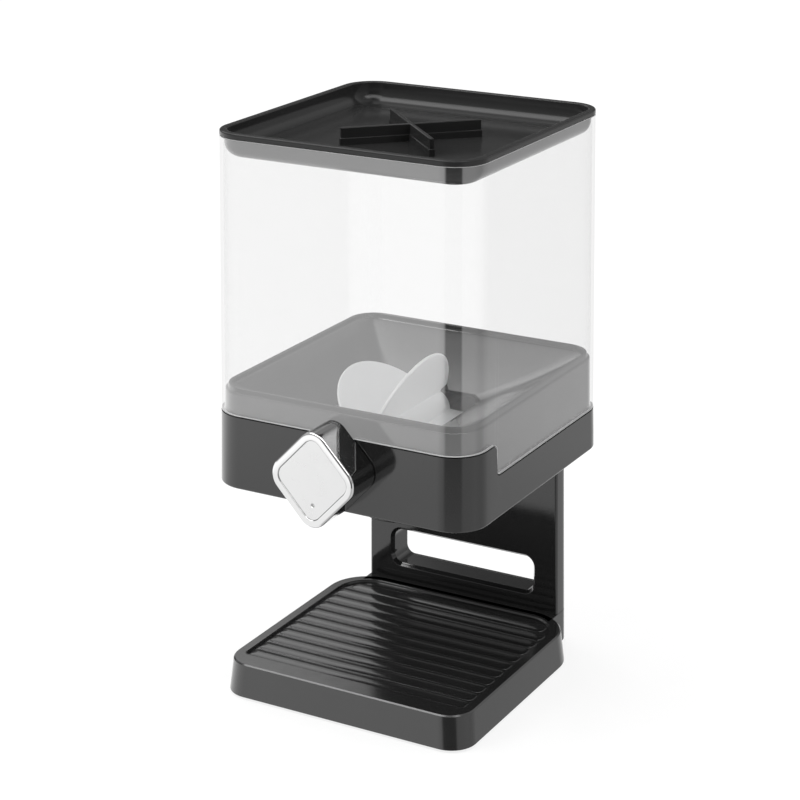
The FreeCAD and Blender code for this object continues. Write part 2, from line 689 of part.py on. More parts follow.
def knob_screw_seat_y():
    return knob_floor_y() + KNOB_SCREW_DEPTH


def knob_body():
    body = knob_prism(KNOB_HALF, KNOB_RADIUS, KNOB_FRONT_Y, KNOB_BACK_Y)
    body = fillet_where(body, KNOB_EDGE, at_depth(KNOB_FRONT_Y))
    recess_half = KNOB_HALF - KNOB_RING
    body = body.cut(knob_prism(recess_half, KNOB_RADIUS - KNOB_RING, KNOB_FRONT_Y - 1, knob_floor_y()))
    cavity_front = knob_screw_seat_y() + KNOB_WEB
    cavity = knob_prism(KNOB_HALF - KNOB_WALL, KNOB_RADIUS - KNOB_WALL, cavity_front, KNOB_BACK_Y + 1)
    cavity = cavity.cut(cylinder_y(KNOB_BOSS_RADIUS, cavity_front, KNOB_BACK_Y + 1))
    body = body.cut(cavity)
    body = body.cut(cylinder_y(SCREW_HEAD_RADIUS + KNOB_SCREW_GAP, knob_floor_y() - 1, knob_screw_seat_y()))
    body = body.cut(cylinder_y(SCREW_CLEARANCE_RADIUS, knob_screw_seat_y() - 1, SHAFT_FRONT_Y))
    body = turned(body.removeSplitter(), CHAMBER_CENTRE, ALONG_Y, KNOB_TURN)
    body = body.cut(d_section(SHAFT_RADIUS + FIT_GAP, SHAFT_FLAT + FIT_GAP, SHAFT_FRONT_Y - FIT_GAP,
                              KNOB_BACK_Y - 1))
    return body.cut(cylinder_y(SHAFT_RADIUS + FIT_GAP, KNOB_BACK_Y - 1, KNOB_BACK_Y + 1))


def knob_face_plate():
    half = KNOB_HALF - KNOB_RING - PLATE_GAP
    radius = KNOB_RADIUS - KNOB_RING - PLATE_GAP
    rear = knob_floor_y()
    plate = knob_prism(half, radius, rear - PLATE_THICK, rear)
    plate = fillet_where(plate, PLATE_EDGE, at_depth(rear - PLATE_THICK))
    plate = turned(plate, CHAMBER_CENTRE, ALONG_Y, KNOB_TURN)
    centre = Vector(0, rear - PLATE_THICK - DIMPLE_PROUD, AXIS_Z - DIMPLE_DROP)
    dimple = Part.makeSphere(DIMPLE_RADIUS, centre)
    return plate.cut(dimple)


def knob_screw():
    head = cylinder_y(SCREW_HEAD_RADIUS, knob_screw_seat_y() - SCREW_HEAD_HEIGHT, knob_screw_seat_y())
    shank = cylinder_y(SCREW_RADIUS, knob_screw_seat_y(), KNOB_FRONT_Y + KNOB_SCREW_LENGTH)
    drive = cylinder_y(SCREW_DRIVE_RADIUS, knob_screw_seat_y() - SCREW_HEAD_HEIGHT,
                       knob_screw_seat_y() - SCREW_HEAD_HEIGHT + SCREW_DRIVE_DEPTH)
    return head.fuse(shank).cut(drive).removeSplitter()


# ---- base ---------------------------------------------------------------------------------------


def base_outline(inset, z, draft):
    grow = -inset - draft
    return rounded_outline(BASE_WIDTH / 2 + grow, BASE_FRONT_Y - grow, BASE_REAR_Y + grow,
                           BASE_FRONT_RADIUS - inset, BASE_REAR_RADIUS - inset, z)


def heel_outline(inset, y_front, z):
    return rounded_outline(COLUMN_WIDTH / 2 - inset, y_front, COLUMN_REAR_Y - inset,
                           COLUMN_FRONT_RADIUS, COLUMN_REAR_RADIUS - inset, z)


def tray_ribs():
    """Low bars across the tray, each with rounded ends."""
    ribs = []
    floor_z = BASE_TOP_Z - TRAY_DEPTH
    for index in range(RIB_COUNT):
        middle = TRAY_FRONT_Y + RIB_FIRST_GAP + RIB_PITCH * (index + 0.5)
        half_length = RIB_HALF_LENGTH
        if index == RIB_COUNT - 1:
            half_length = RIB_HALF_LENGTH - LAST_RIB_SHORTER
        outline = rounded_outline(half_length, middle - RIB_WIDTH / 2, middle + RIB_WIDTH / 2,
                                  RIB_END_RADIUS, RIB_END_RADIUS, floor_z)
        ribs.append(prism(outline, RIB_HEIGHT))
    return ribs


def base_shell():
    height = BASE_TOP_Z - BASE_BOTTOM_Z
    wall = BASE_WALL
    outer = Part.makeLoft([base_outline(0, BASE_BOTTOM_Z, 0), base_outline(0, BASE_TOP_Z, BASE_DRAFT)],
                          True, True)
    outer = fillet_where(outer, BASE_EDGE, at_height(BASE_TOP_Z))
    heel = prism(heel_outline(0, HEEL_FRONT_Y, BASE_BOTTOM_Z), height)
    inner = Part.makeLoft([base_outline(wall, BASE_BOTTOM_Z, 0),
                           base_outline(wall, BASE_TOP_Z - 2 * wall, BASE_DRAFT)], True, True)
    heel_hollow = prism(heel_outline(wall, HEEL_FRONT_Y, BASE_BOTTOM_Z), height - 2 * wall)
    shell = outer.fuse(heel).cut(inner).cut(heel_hollow)
    tray = rounded_outline(TRAY_HALF, TRAY_FRONT_Y, TRAY_REAR_Y, TRAY_FRONT_RADIUS, TRAY_REAR_RADIUS,
                           BASE_TOP_Z - TRAY_DEPTH)
    shell = shell.cut(prism(tray, TRAY_DEPTH + 1))
    for rib in tray_ribs():
        shell = shell.fuse(rib)
    boss_low = BASE_BOTTOM_Z + COVER_THICK + COVER_GAP
    for x in (-BASE_SCREW_X, BASE_SCREW_X):
        for y in BASE_SCREW_Y:
            shell = shell.fuse(cylinder_z(BOSS_RADIUS, x, y, boss_low, BASE_TOP_Z - wall))
            shell = shell.cut(cylinder_z(PILOT_RADIUS, x, y, boss_low, BASE_TOP_Z - BASE_BOSS_TOP_GAP))
    for x in (-COLUMN_FOOT_X, COLUMN_FOOT_X):
        shell = shell.cut(cylinder_z(SCREW_CLEARANCE_RADIUS, x, COLUMN_SCREW_Y, BASE_BOTTOM_Z,
                                     BASE_TOP_Z + 1))
    return shell.removeSplitter()


def base_cover():
    """Closing plate that sits inside the lower edge of the base and carries the rubber feet."""
    inset = BASE_WALL + COVER_GAP
    low = BASE_BOTTOM_Z
    plate = prism(base_outline(inset, low, 0), COVER_THICK)
    plate = plate.fuse(prism(heel_outline(inset, HEEL_FRONT_Y, low), COVER_THICK)).removeSplitter()
    for x in (-BASE_SCREW_X, BASE_SCREW_X):
        for y in BASE_SCREW_Y:
            plate = plate.cut(cylinder_z(SCREW_CLEARANCE_RADIUS, x, y, low, low + COVER_THICK))
    for x in (-FOOT_X, FOOT_X):
        for y in FOOT_Y:
            plate = plate.cut(cylinder_z(FOOT_RADIUS + FOOT_SOCKET_GAP, x, y, low,
                                         low + FOOT_SOCKET_DEPTH))
    return plate


def base_cover_screws():
    """Four screws, their low heads above the level of the feet."""
    screws = []
    top = BASE_BOTTOM_Z + COVER_SCREW_LENGTH
    for x in (-BASE_SCREW_X, BASE_SCREW_X):
        for y in BASE_SCREW_Y:
            low = BASE_BOTTOM_Z - LOW_HEAD_HEIGHT
            disc = cylinder_z(SCREW_HEAD_RADIUS, x, y, low, BASE_BOTTOM_Z)
            shank = cylinder_z(SCREW_RADIUS, x, y, BASE_BOTTOM_Z, top)
            drive = cylinder_z(SCREW_DRIVE_RADIUS, x, y, low, low + LOW_HEAD_HEIGHT / 2)
            screws.append(disc.fuse(shank).cut(drive).removeSplitter())
    return Part.makeCompound(screws)


def rubber_feet():
    feet = []
    for x in (-FOOT_X, FOOT_X):
        for y in FOOT_Y:
            foot = cylinder_z(FOOT_RADIUS, x, y, 0.0, FOOT_HEIGHT)
            feet.append(fillet_where(foot, FOOT_EDGE, at_height(0.0)))
    return Part.makeCompound(feet)


# ---- column -------------------------------------------------------------------------------------


def slot_prism(grow, y_low, y_high):
    """Rounded slot through the column, enlarged all round by grow."""
    half_x = SLOT_WIDTH / 2 + grow
    outline = rounded_outline(half_x, SLOT_BOTTOM_Z - grow, SLOT_TOP_Z + grow,
                              SLOT_RADIUS + grow, SLOT_RADIUS + grow, 0.0)
    outline.rotate(Vector(0, 0, 0), ALONG_X, 90)
    outline.translate(Vector(0, y_high, 0))
    return Part.Face(outline).extrude(Vector(0, y_low - y_high, 0))


def slot_flare():
    """Bevel round the front mouth of the slot."""
    wide = rounded_outline(SLOT_WIDTH / 2 + SLOT_BEVEL, SLOT_BOTTOM_Z - SLOT_BEVEL,
                           SLOT_TOP_Z + SLOT_BEVEL, SLOT_RADIUS + SLOT_BEVEL,
                           SLOT_RADIUS + SLOT_BEVEL, 0.0)
    narrow = rounded_outline(SLOT_WIDTH / 2, SLOT_BOTTOM_Z, SLOT_TOP_Z, SLOT_RADIUS, SLOT_RADIUS, 0.0)
    for outline, y in ((wide, COLUMN_FRONT_Y), (narrow, COLUMN_FRONT_Y + SLOT_BEVEL)):
        outline.rotate(Vector(0, 0, 0), ALONG_X, 90)
        outline.translate(Vector(0, y, 0))
    return Part.makeLoft([wide, narrow], True, True)


def column_front_shell():
    wall = COLUMN_WALL
    height = HOUSING_BOTTOM_Z - BASE_TOP_Z
    outer = prism(heel_outline(0, COLUMN_FRONT_Y, BASE_TOP_Z), height)
    inner_front = COLUMN_FRONT_Y + wall
    inner = rounded_outline(COLUMN_WIDTH / 2 - wall, inner_front, COLUMN_REAR_Y - wall,
                            COLUMN_FRONT_RADIUS, COLUMN_REAR_RADIUS - wall, BASE_TOP_Z + wall)
    shell = outer.cut(prism(inner, height - 2 * wall))
    cover_low = BASE_TOP_Z + wall
    cover_high = HOUSING_BOTTOM_Z - wall
    half = COLUMN_COVER_WIDTH / 2
    shell = shell.cut(box(-half, half, COLUMN_REAR_Y - wall - 1, COLUMN_REAR_Y + 1,
                          cover_low, cover_high))
    sleeve = slot_prism(wall, COLUMN_FRONT_Y, COLUMN_REAR_Y - COLUMN_COVER_THICK - COVER_GAP)
    shell = shell.fuse(sleeve)
    for x, z in COVER_SCREW_PLACES:
        post = cylinder_y(BOSS_RADIUS, COLUMN_FRONT_Y + POST_INSET,
                          COLUMN_REAR_Y - COLUMN_COVER_THICK - FIT_GAP, x, z)
        shell = shell.fuse(post)
        shell = shell.cut(cylinder_y(PILOT_RADIUS, COLUMN_FRONT_Y + wall + 1, COLUMN_REAR_Y, x, z))
    for x in (-COLUMN_FOOT_X, COLUMN_FOOT_X):
        shell = shell.fuse(cylinder_z(BOSS_RADIUS, x, COLUMN_SCREW_Y, BASE_TOP_Z,
                                      BASE_TOP_Z + COLUMN_BOSS_HEIGHT))
        shell = shell.cut(cylinder_z(PILOT_RADIUS, x, COLUMN_SCREW_Y, BASE_TOP_Z,
                                     BASE_TOP_Z + COLUMN_PILOT_DEPTH))
    for x in (-COLUMN_HEAD_X, COLUMN_HEAD_X):
        top = HOUSING_BOTTOM_Z
        shell = shell.fuse(cylinder_z(BOSS_RADIUS, x, COLUMN_SCREW_Y, top - COLUMN_BOSS_HEIGHT, top))
        shell = shell.cut(cylinder_z(PILOT_RADIUS, x, COLUMN_SCREW_Y, top - COLUMN_PILOT_DEPTH, top))
    shell = shell.cut(slot_prism(0.0, COLUMN_FRONT_Y - 1, COLUMN_REAR_Y + 1)).cut(slot_flare())
    return shell.removeSplitter()


def column_rear_cover():
    """Flat plate let into the back of the column, with its own opening for the slot."""
    half = COLUMN_COVER_WIDTH / 2 - COVER_GAP
    rear = COLUMN_REAR_Y
    front = rear - COLUMN_COVER_THICK
    plate = box(-half, half, front, rear, BASE_TOP_Z + COLUMN_WALL + COVER_GAP,
                HOUSING_BOTTOM_Z - COLUMN_WALL - COVER_GAP)
    plate = plate.cut(slot_prism(0.0, front - 1, rear + 1))
    for x, z in COVER_SCREW_PLACES:
        plate = plate.cut(cylinder_y(SCREW_CLEARANCE_RADIUS, front - 1, rear + 1, x, z))
        plate = plate.cut(cylinder_y(SCREW_HEAD_RADIUS + COVER_HEAD_GAP, rear - COVER_HEAD_DEPTH,
                                     rear + 1, x, z))
    return plate


def column_cover_screws():
    screws = []
    seat = COLUMN_REAR_Y - COVER_HEAD_DEPTH
    face = seat + COVER_HEAD_HEIGHT
    for x, z in COVER_SCREW_PLACES:
        head = cylinder_y(SCREW_HEAD_RADIUS, seat, face, x, z)
        shank = cylinder_y(SCREW_RADIUS, seat - COVER_SCREW_LENGTH, seat, x, z)
        drive = cylinder_y(SCREW_DRIVE_RADIUS, face - COVER_HEAD_HEIGHT / 2, face, x, z)
        screws.append(head.fuse(shank).cut(drive).removeSplitter())
    return Part.makeCompound(screws)


def column_foot_screws():
    """Two screws, heads inside the hollow heel of the base, that hold the column down."""
    screws = []
    head_low = BASE_TOP_Z - 2 * BASE_WALL - SCREW_HEAD_HEIGHT
    for x in (-COLUMN_FOOT_X, COLUMN_FOOT_X):
        screws.append(screw_up(x, COLUMN_SCREW_Y, head_low, COLUMN_FOOT_SCREW_LENGTH))
    return Part.makeCompound(screws)


# ---- write one file per piece -------------------------------------------------------------------

PIECES = {
    "base_shell": base_shell,
    "base_cover": base_cover,
    "base_cover_screws": base_cover_screws,
    "rubber_feet": rubber_feet,
    "column_front_shell": column_front_shell,
    "column_rear_cover": column_rear_cover,
    "column_cover_screws": column_cover_screws,
    "column_foot_screws": column_foot_screws,
    "column_head_screws": column_head_screws,
    "housing_shell": housing_shell,
    "hopper_funnel": hopper_funnel,
    "hopper_screws": hopper_screws,
    "outlet_chute": outlet_chute,
    "chute_screws": chute_screws,
    "front_bush": front_bush,
    "rear_bush": rear_bush,
    "drive_shaft": drive_shaft,
    "shaft_clip": shaft_clip,
    "paddle_hub": paddle_hub,
    "paddle_vanes": paddle_vanes,
    "knob_body": knob_body,
    "knob_face_plate": knob_face_plate,
    "knob_screw": knob_screw,
    "canister": canister,
    "lid_gasket": lid_gasket,
    "lid_tray": lid_tray,
}

for name, build in PIECES.items():
    save(name, build())
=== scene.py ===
"""Looks for the cereal dispenser: meshes, materials, studio and camera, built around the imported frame.

Lengths below are millimetres in the canister's own frame: X and Y from its vertical centreline, Z from the
table. millimetre_box() changes from the row frame, which is in metres, and new_piece() changes back to it.
"""

import math

import bmesh
import bpy
from mathutils import Matrix, Vector


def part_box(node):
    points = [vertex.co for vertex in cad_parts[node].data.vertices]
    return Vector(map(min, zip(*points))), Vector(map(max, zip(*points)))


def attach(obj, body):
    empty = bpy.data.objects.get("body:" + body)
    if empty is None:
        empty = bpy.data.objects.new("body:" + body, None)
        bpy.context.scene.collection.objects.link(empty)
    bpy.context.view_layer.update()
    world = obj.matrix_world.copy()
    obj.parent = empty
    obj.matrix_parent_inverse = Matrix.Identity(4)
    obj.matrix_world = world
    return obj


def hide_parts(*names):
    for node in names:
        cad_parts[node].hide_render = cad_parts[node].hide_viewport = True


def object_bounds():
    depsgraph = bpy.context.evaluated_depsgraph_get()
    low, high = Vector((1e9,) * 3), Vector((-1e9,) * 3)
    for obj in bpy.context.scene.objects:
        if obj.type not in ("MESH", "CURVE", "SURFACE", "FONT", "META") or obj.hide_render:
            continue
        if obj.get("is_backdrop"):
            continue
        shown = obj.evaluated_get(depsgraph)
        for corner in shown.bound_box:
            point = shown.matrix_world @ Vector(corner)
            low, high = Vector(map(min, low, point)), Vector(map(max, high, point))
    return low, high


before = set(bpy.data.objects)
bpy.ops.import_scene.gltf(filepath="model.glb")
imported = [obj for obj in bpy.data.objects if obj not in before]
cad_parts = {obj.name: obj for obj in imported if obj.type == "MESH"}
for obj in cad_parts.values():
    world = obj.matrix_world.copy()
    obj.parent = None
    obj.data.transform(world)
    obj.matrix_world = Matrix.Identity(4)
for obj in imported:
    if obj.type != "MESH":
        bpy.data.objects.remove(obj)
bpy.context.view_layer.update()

MM = 0.001
ARC_STEPS = 12
FILLET_STEPS = 5

CANISTER_LOW, CANISTER_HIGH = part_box("canister")
CENTRE_Y = (CANISTER_LOW.y + CANISTER_HIGH.y) / 2 / MM


def millimetre_box(node):
    """Lowest and highest corner of a CAD node, in millimetres from the canister's centreline."""
    shift = Vector((0, CENTRE_Y, 0))
    low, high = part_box(node)
    return low / MM - shift, high / MM - shift


# ---- mesh building --------------------------------------------------------------------------------


def new_piece(name, points, faces):
    """Mesh object from millimetre points, with its faces turned outwards."""
    mesh = bpy.data.meshes.new(name)
    mesh.from_pydata([(x * MM, (y + CENTRE_Y) * MM, z * MM) for x, y, z in points], [], faces)
    work = bmesh.new()
    work.from_mesh(mesh)
    bmesh.ops.remove_doubles(work, verts=work.verts, dist=1e-7)
    bmesh.ops.recalc_face_normals(work, faces=work.faces)
    work.to_mesh(mesh)
    work.free()
    piece = bpy.data.objects.new(name, mesh)
    bpy.context.scene.collection.objects.link(piece)
    return piece


def loft(name, rings, loop=False):
    """Closed surface through rings of equal length; the ends are capped, or joined when loop is set."""
    count = len(rings[0])
    points = [point for ring in rings for point in ring]
    steps = list(zip(range(len(rings) - 1), range(1, len(rings))))
    if loop:
        steps.append((len(rings) - 1, 0))
    faces = []
    for a, b in steps:
        for i in range(count):
            j = (i + 1) % count
            faces.append((a * count + i, a * count + j, b * count + j, b * count + i))
    if not loop:
        faces.append(tuple(reversed(range(count))))
        faces.append(tuple(range((len(rings) - 1) * count, len(rings) * count)))
    return new_piece(name, points, faces)


def rounded_ring(x0, x1, y0, y1, front_radius, rear_radius, steps=ARC_STEPS):
    """Outline of a rectangle with rounded corners, counter-clockwise, starting at the front left."""
    corners = ((x0, y0, 1, 1, front_radius, 180), (x1, y0, -1, 1, front_radius, 270),
               (x1, y1, -1, -1, rear_radius, 0), (x0, y1, 1, -1, rear_radius, 90))
    ring = []
    for x, y, inward_x, inward_y, radius, start in corners:
        centre_x = x + inward_x * radius
        centre_y = y + inward_y * radius
        for k in range(steps + 1):
            angle = math.radians(start + 90 * k / steps)
            ring.append((centre_x + radius * math.cos(angle), centre_y + radius * math.sin(angle)))
    return ring


def inset_ring(half, deep, radius, inset=0.0):
    """Rounded rectangle that reaches half along X and deep along Y, drawn in by inset all round."""
    corner = max(radius - inset, 0.2)
    return rounded_ring(inset - half, half - inset, inset - deep, deep - inset, corner, corner)


def level(ring, z):
    """Lays a flat outline at height z."""
    return [(x, y, z) for x, y in ring]


def circle_from(ring, radius, centre_y=0.0):
    """Circle whose points lie in the same directions as those of ring."""
    angles = [math.atan2(y, x) for x, y in ring]
    return [(radius * math.cos(a), centre_y + radius * math.sin(a)) for a in angles]


def rounded_path(corners, steps=FILLET_STEPS):
    """Path through (a, b, radius) corners, each rounded with its radius. The two ends stay sharp."""
    path = [Vector(corners[0][:2])]
    for before, corner, after in zip(corners, corners[1:], corners[2:]):
        tip = Vector(corner[:2])
        radius = corner[2]
        if radius == 0:
            path.append(tip)
            continue
        back = (Vector(before[:2]) - tip).normalized()
        on = (Vector(after[:2]) - tip).normalized()
        half_angle = back.angle(on) / 2
        centre = tip + (back + on).normalized() * radius / math.sin(half_angle)
        start = tip + back * radius / math.tan(half_angle) - centre
        end = tip + on * radius / math.tan(half_angle) - centre
        sweep = start.angle(end)
        for k in range(steps + 1):
            t = k / steps
            arm = start * math.sin((1 - t) * sweep) + end * math.sin(t * sweep)
            path.append(centre + arm / math.sin(sweep))
    path.append(Vector(corners[-1][:2]))
    return path


def revolve(name, path, centre=(0.0, 0.0), steps=48, loop=False):
    """Turned piece: path holds (radius, z), about a vertical line through centre."""
    rings = []
    for radius, z in path:
        ring = []
        for k in range(steps):
            angle = 2 * math.pi * k / steps
            ring.append((centre[0] + radius * math.cos(angle), centre[1] + radius * math.sin(angle), z))
        rings.append(ring)
    return loft(name, rings, loop)


def bake(piece):
    """Applies the piece's modifiers to its mesh."""
    graph = bpy.context.evaluated_depsgraph_get()
    mesh = bpy.data.meshes.new_from_object(piece.evaluated_get(graph))
    piece.modifiers.clear()
    piece.data = mesh
    return piece


def combine(piece, tool, operation):
    """Joins tool to the piece, or cuts it away, and removes tool."""
    modifier = piece.modifiers.new("combine", "BOOLEAN")
    modifier.object = tool
    modifier.operation = operation
    modifier.solver = "EXACT"
    bake(piece)
    bpy.data.objects.remove(tool)
    return piece


def append(piece, other):
    """Adds the mesh of other to the piece as a separate island, and removes other."""
    work = bmesh.new()
    work.from_mesh(piece.data)
    work.from_mesh(other.data)
    work.to_mesh(piece.data)
    work.free()
    bpy.data.objects.remove(other)
    return piece


def move(piece, matrix):
    """Moves the mesh by a matrix given in the canister's frame, in millimetres."""
    to_row = Matrix.Translation((0, CENTRE_Y * MM, 0)) @ Matrix.Scale(MM, 4)
    piece.data.transform(to_row @ matrix @ to_row.inverted())
    return piece


def finish_piece(piece, material, body, node, bevel=0.0, sharp=35.0):
    """Shading, edge softening, material and body of a piece that stands for a CAD node; the CAD node is
    hidden.
    """
    if bevel:
        modifier = piece.modifiers.new("edge", "BEVEL")
        modifier.width = bevel * MM
        modifier.segments = 3
        modifier.limit_method = "ANGLE"
        modifier.angle_limit = math.radians(sharp)
        modifier.use_clamp_overlap = True
        bake(piece)
    shade(piece, sharp)
    piece.data.materials.clear()
    piece.data.materials.append(material)
    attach(piece, body)
    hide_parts(node)


def shade(piece, sharp):
    """Smooth shading with the flats kept flat; edges steeper than sharp degrees stay hard."""
    mesh = piece.data
    mesh.polygons.foreach_set("use_smooth", [True] * len(mesh.polygons))
    mesh.set_sharp_from_angle(angle=math.radians(sharp))
    weighted = piece.modifiers.new("even_flats", "WEIGHTED_NORMAL")
    weighted.keep_sharp = True
    weighted.weight = 90


# ---- node trees -----------------------------------------------------------------------------------


class Nodes:
    """Short way to build a node tree."""

    def __init__(self, tree):
        self.tree = tree
        tree.nodes.clear()

    def add(self, kind, inputs=None, **settings):
        node = self.tree.nodes.new(kind)
        for key, value in settings.items():
            setattr(node, key, value)
        for key, value in (inputs or {}).items():
            if isinstance(value, bpy.types.NodeSocket):
                self.tree.links.new(value, node.inputs[key])
            else:
                node.inputs[key].default_value = value
        return node

    def noise(self, scale, detail=3.0, stretch=(1, 1, 1)):
        """Noise in object space; scale is in waves per metre."""
        where = self.add("ShaderNodeTexCoord").outputs["Object"]
        mapped = self.add("ShaderNodeMapping", {"Vector": where, "Scale": stretch}).outputs["Vector"]
        noise = self.add("ShaderNodeTexNoise", {"Vector": mapped, "Scale": scale, "Detail": detail})
        return noise.outputs["Fac"]

    def span(self, value, low, high):
        """Maps 0..1 to low..high."""
        mapped = self.add("ShaderNodeMapRange", {"Value": value, "To Min": low, "To Max": high})
        return mapped.outputs["Result"]

    def grey(self, tone):
        """Neutral colour of one tone."""
        mixed = self.add("ShaderNodeCombineColor", {"Red": tone, "Green": tone, "Blue": tone})
        return mixed.outputs["Color"]

    def bump(self, height, strength, distance):
        return self.add("ShaderNodeBump", {"Height": height, "Strength": strength,
                                           "Distance": distance}).outputs["Normal"]

    def mix(self, factor, first, second):
        return self.add("ShaderNodeMixShader", {"Fac": factor, 1: first, 2: second}).outputs[0]

    def math(self, operation, a, b=0.0):
        return self.add("ShaderNodeMath", {0: a, 1: b}, operation=operation).outputs[0]


def new_material(name):
    material = bpy.data.materials.new(name)
    material.use_nodes = True
    return material, Nodes(material.node_tree)


# ---- studio light ---------------------------------------------------------------------------------

BACKGROUND_STRENGTH = 1.05

# A bright strip high in front, which only polished surfaces see. It grows to full strength and fades out
# again between two pairs of heights, given as the vertical part of a unit vector.
STRIP_STRENGTH = 8.0
STRIP_RISE = (0.72, 0.78)
STRIP_FALL = (0.90, 0.95)

# Each band of the studio holds (azimuth in degrees, strength) round the horizon. It takes over from the
# band below it between two heights.
LOW_BAND = ((-180, 1.8), (-120, 1.92), (-98, 1.4), (-90, 0.92), (-42, 0.92), (-36, 1.3),
            (5, 1.3), (30, 0.9), (60, 0.78), (110, 1.1), (150, 1.6), (180, 2.0))
MIDDLE_BAND = ((-180, 2.3), (-120, 2.3), (-98, 1.9), (-91, 0.12), (-41, 0.12), (-36, 1.3),
               (5, 1.3), (30, 1.0), (60, 0.9), (110, 1.1), (150, 1.6), (180, 2.3))
HORIZON_BAND = ((-180, 0.7), (-100, 0.7), (-92, 0.6), (-40, 0.6), (-32, 0.8), (60, 0.8),
                (95, 0.12), (150, 0.12), (180, 0.7))
UPPER_BAND = ((-180, 0.9), (-100, 0.9), (-92, 0.15), (-40, 0.15), (-32, 1.2), (60, 1.4),
              (95, 0.25), (118, 0.25), (122, 1.9), (180, 1.2))
HIGHER_BANDS = ((-0.345, -0.325, MIDDLE_BAND), (0.02, 0.10, HORIZON_BAND), (0.34, 0.42, UPPER_BAND))


def light_ring(n, turn, stops):
    """Light strength round the horizon, from (azimuth, strength) stops."""
    strongest = max(strength for _, strength in stops)
    ring = n.add("ShaderNodeValToRGB", {"Fac": turn})
    ramp = ring.color_ramp
    while len(ramp.elements) < len(stops):
        ramp.elements.new(0.5)
    for element, (degrees, strength) in zip(ramp.elements, stops):
        element.position = (degrees + 180) / 360
        value = strength / strongest
        element.color = (value, value, value, 1)
    return n.math("MULTIPLY", ring.outputs["Color"], strongest)


def studio_light(n, direction):
    """Strength of the studio's light from a direction, and the node that splits the direction."""
    parts = n.add("ShaderNodeSeparateXYZ", {"Vector": direction})
    angle = n.math("ARCTAN2", parts.outputs["Y"], parts.outputs["X"])
    round_turn = n.add("ShaderNodeMapRange", {"Value": angle, "From Min": -math.pi, "From Max": math.pi})
    turn = round_turn.outputs["Result"]
    light = light_ring(n, turn, LOW_BAND)
    for start, end, stops in HIGHER_BANDS:
        limits = {"Value": parts.outputs["Z"], "From Min": start, "From Max": end}
        share = n.add("ShaderNodeMapRange", limits).outputs["Result"]
        ring = light_ring(n, turn, stops)
        light = n.add("ShaderNodeMix", {0: share, 2: light, 3: ring}).outputs[0]
    return light, parts


# ---- plastics and metals --------------------------------------------------------------------------


def moulded_plastic(name, shade_low, shade_high, rough_low, rough_high, grain, grain_depth, index=1.5,
                    wave_depth=0.0006):
    """Moulded plastic: faint flow marks in the colour, uneven polish, a fine grain and a slow wave."""
    material, n = new_material(name)
    flow = n.noise(18.0, 4.0, (1, 1, 2.5))
    colour = n.grey(n.span(flow, shade_low, shade_high))
    polish = n.span(n.noise(140.0, 6.0), rough_low, rough_high)
    surface = n.bump(n.noise(grain, 2.0), 0.25, grain_depth)
    wave = n.add("ShaderNodeBump", {"Height": n.noise(9.0, 1.0), "Strength": 0.12, "Distance": wave_depth,
                                    "Normal": surface}).outputs["Normal"]
    shader = n.add("ShaderNodeBsdfPrincipled", {"Base Color": colour, "Roughness": polish, "IOR": index,
                                                "Normal": wave})
    n.add("ShaderNodeOutputMaterial", {"Surface": shader.outputs[0]})
    return material


# The clear wall: share of light it mirrors when seen square on, how much of what it mirrors is missing from
# the light that passes, and the share that passes when seen square on and edge on.
CLEAR_REFLECTANCE = 0.063
CLEAR_LOSS = 0.95
CLEAR_TINT = 0.963
CLEAR_EDGE_TINT = 0.68


def clear_plastic():
    """Clear polished plastic in thin walls: it tints what is behind it and adds the studio's reflection."""
    material, n = new_material("clear_plastic")
    ripple = n.bump(n.noise(14.0, 1.0), 0.08, 0.0004)
    facing = n.add("ShaderNodeLayerWeight", {"Blend": 0.5, "Normal": ripple}).outputs["Facing"]
    edge_on = n.math("POWER", facing, 5.0)
    mirror = n.span(edge_on, CLEAR_REFLECTANCE, 1.0)
    incoming = n.add("ShaderNodeNewGeometry").outputs["Incoming"]
    outward = n.add("ShaderNodeVectorMath", {0: incoming, "Scale": -1.0}, operation="SCALE").outputs[0]
    bounce = n.add("ShaderNodeVectorMath", {0: outward, 1: ripple}, operation="REFLECT").outputs[0]
    light, _ = studio_light(n, bounce)
    polish = n.span(n.noise(60.0, 5.0), 0.96, 1.04)
    glint = n.math("MULTIPLY", n.math("MULTIPLY", light, mirror), polish)
    shine = n.add("ShaderNodeEmission", {"Color": (1, 1, 1, 1), "Strength": glint})
    depth = n.span(n.math("POWER", facing, 3.0), CLEAR_TINT, CLEAR_EDGE_TINT)
    kept = n.math("SUBTRACT", 1.0, n.math("MULTIPLY", glint, CLEAR_LOSS))
    passed = n.math("MAXIMUM", n.math("MULTIPLY", depth, kept), 0.0)
    colour = n.grey(passed)
    behind = n.add("ShaderNodeBsdfTransparent", {"Color": colour})
    seen = n.add("ShaderNodeAddShader", {0: behind.outputs[0], 1: shine.outputs[0]})
    through = n.add("ShaderNodeBsdfTransparent", {"Color": (0.97, 0.975, 0.977, 1)})
    path = n.add("ShaderNodeLightPath")
    soft = n.math("MAXIMUM", path.outputs["Is Shadow Ray"], path.outputs["Is Diffuse Ray"])
    n.add("ShaderNodeOutputMaterial", {"Surface": n.mix(soft, seen.outputs[0], through.outputs[0])})
    return material


def edge_painted_highlight():
    """Edge of the clear moulding: a pale frosted face lit by the studio, plus a faint painted glow. Together
    they are a painted highlight standing in for light carried down the wall to the edge.
    """
    material, n = new_material("edge_painted_highlight")
    colour = n.grey(n.span(n.noise(300.0, 3.0), 0.50, 0.62))
    surface = n.bump(n.noise(1500.0, 2.0), 0.3, 0.00005)
    skin = n.add("ShaderNodeBsdfDiffuse", {"Color": colour, "Normal": surface})
    # Faint emission: painted glow for the light carried down the wall to the edge.
    painted_glow = n.add("ShaderNodeEmission", {"Color": colour, "Strength": 0.02})
    both = n.add("ShaderNodeAddShader", {0: skin.outputs[0], 1: painted_glow.outputs[0]})
    n.add("ShaderNodeOutputMaterial", {"Surface": both.outputs[0]})
    return material


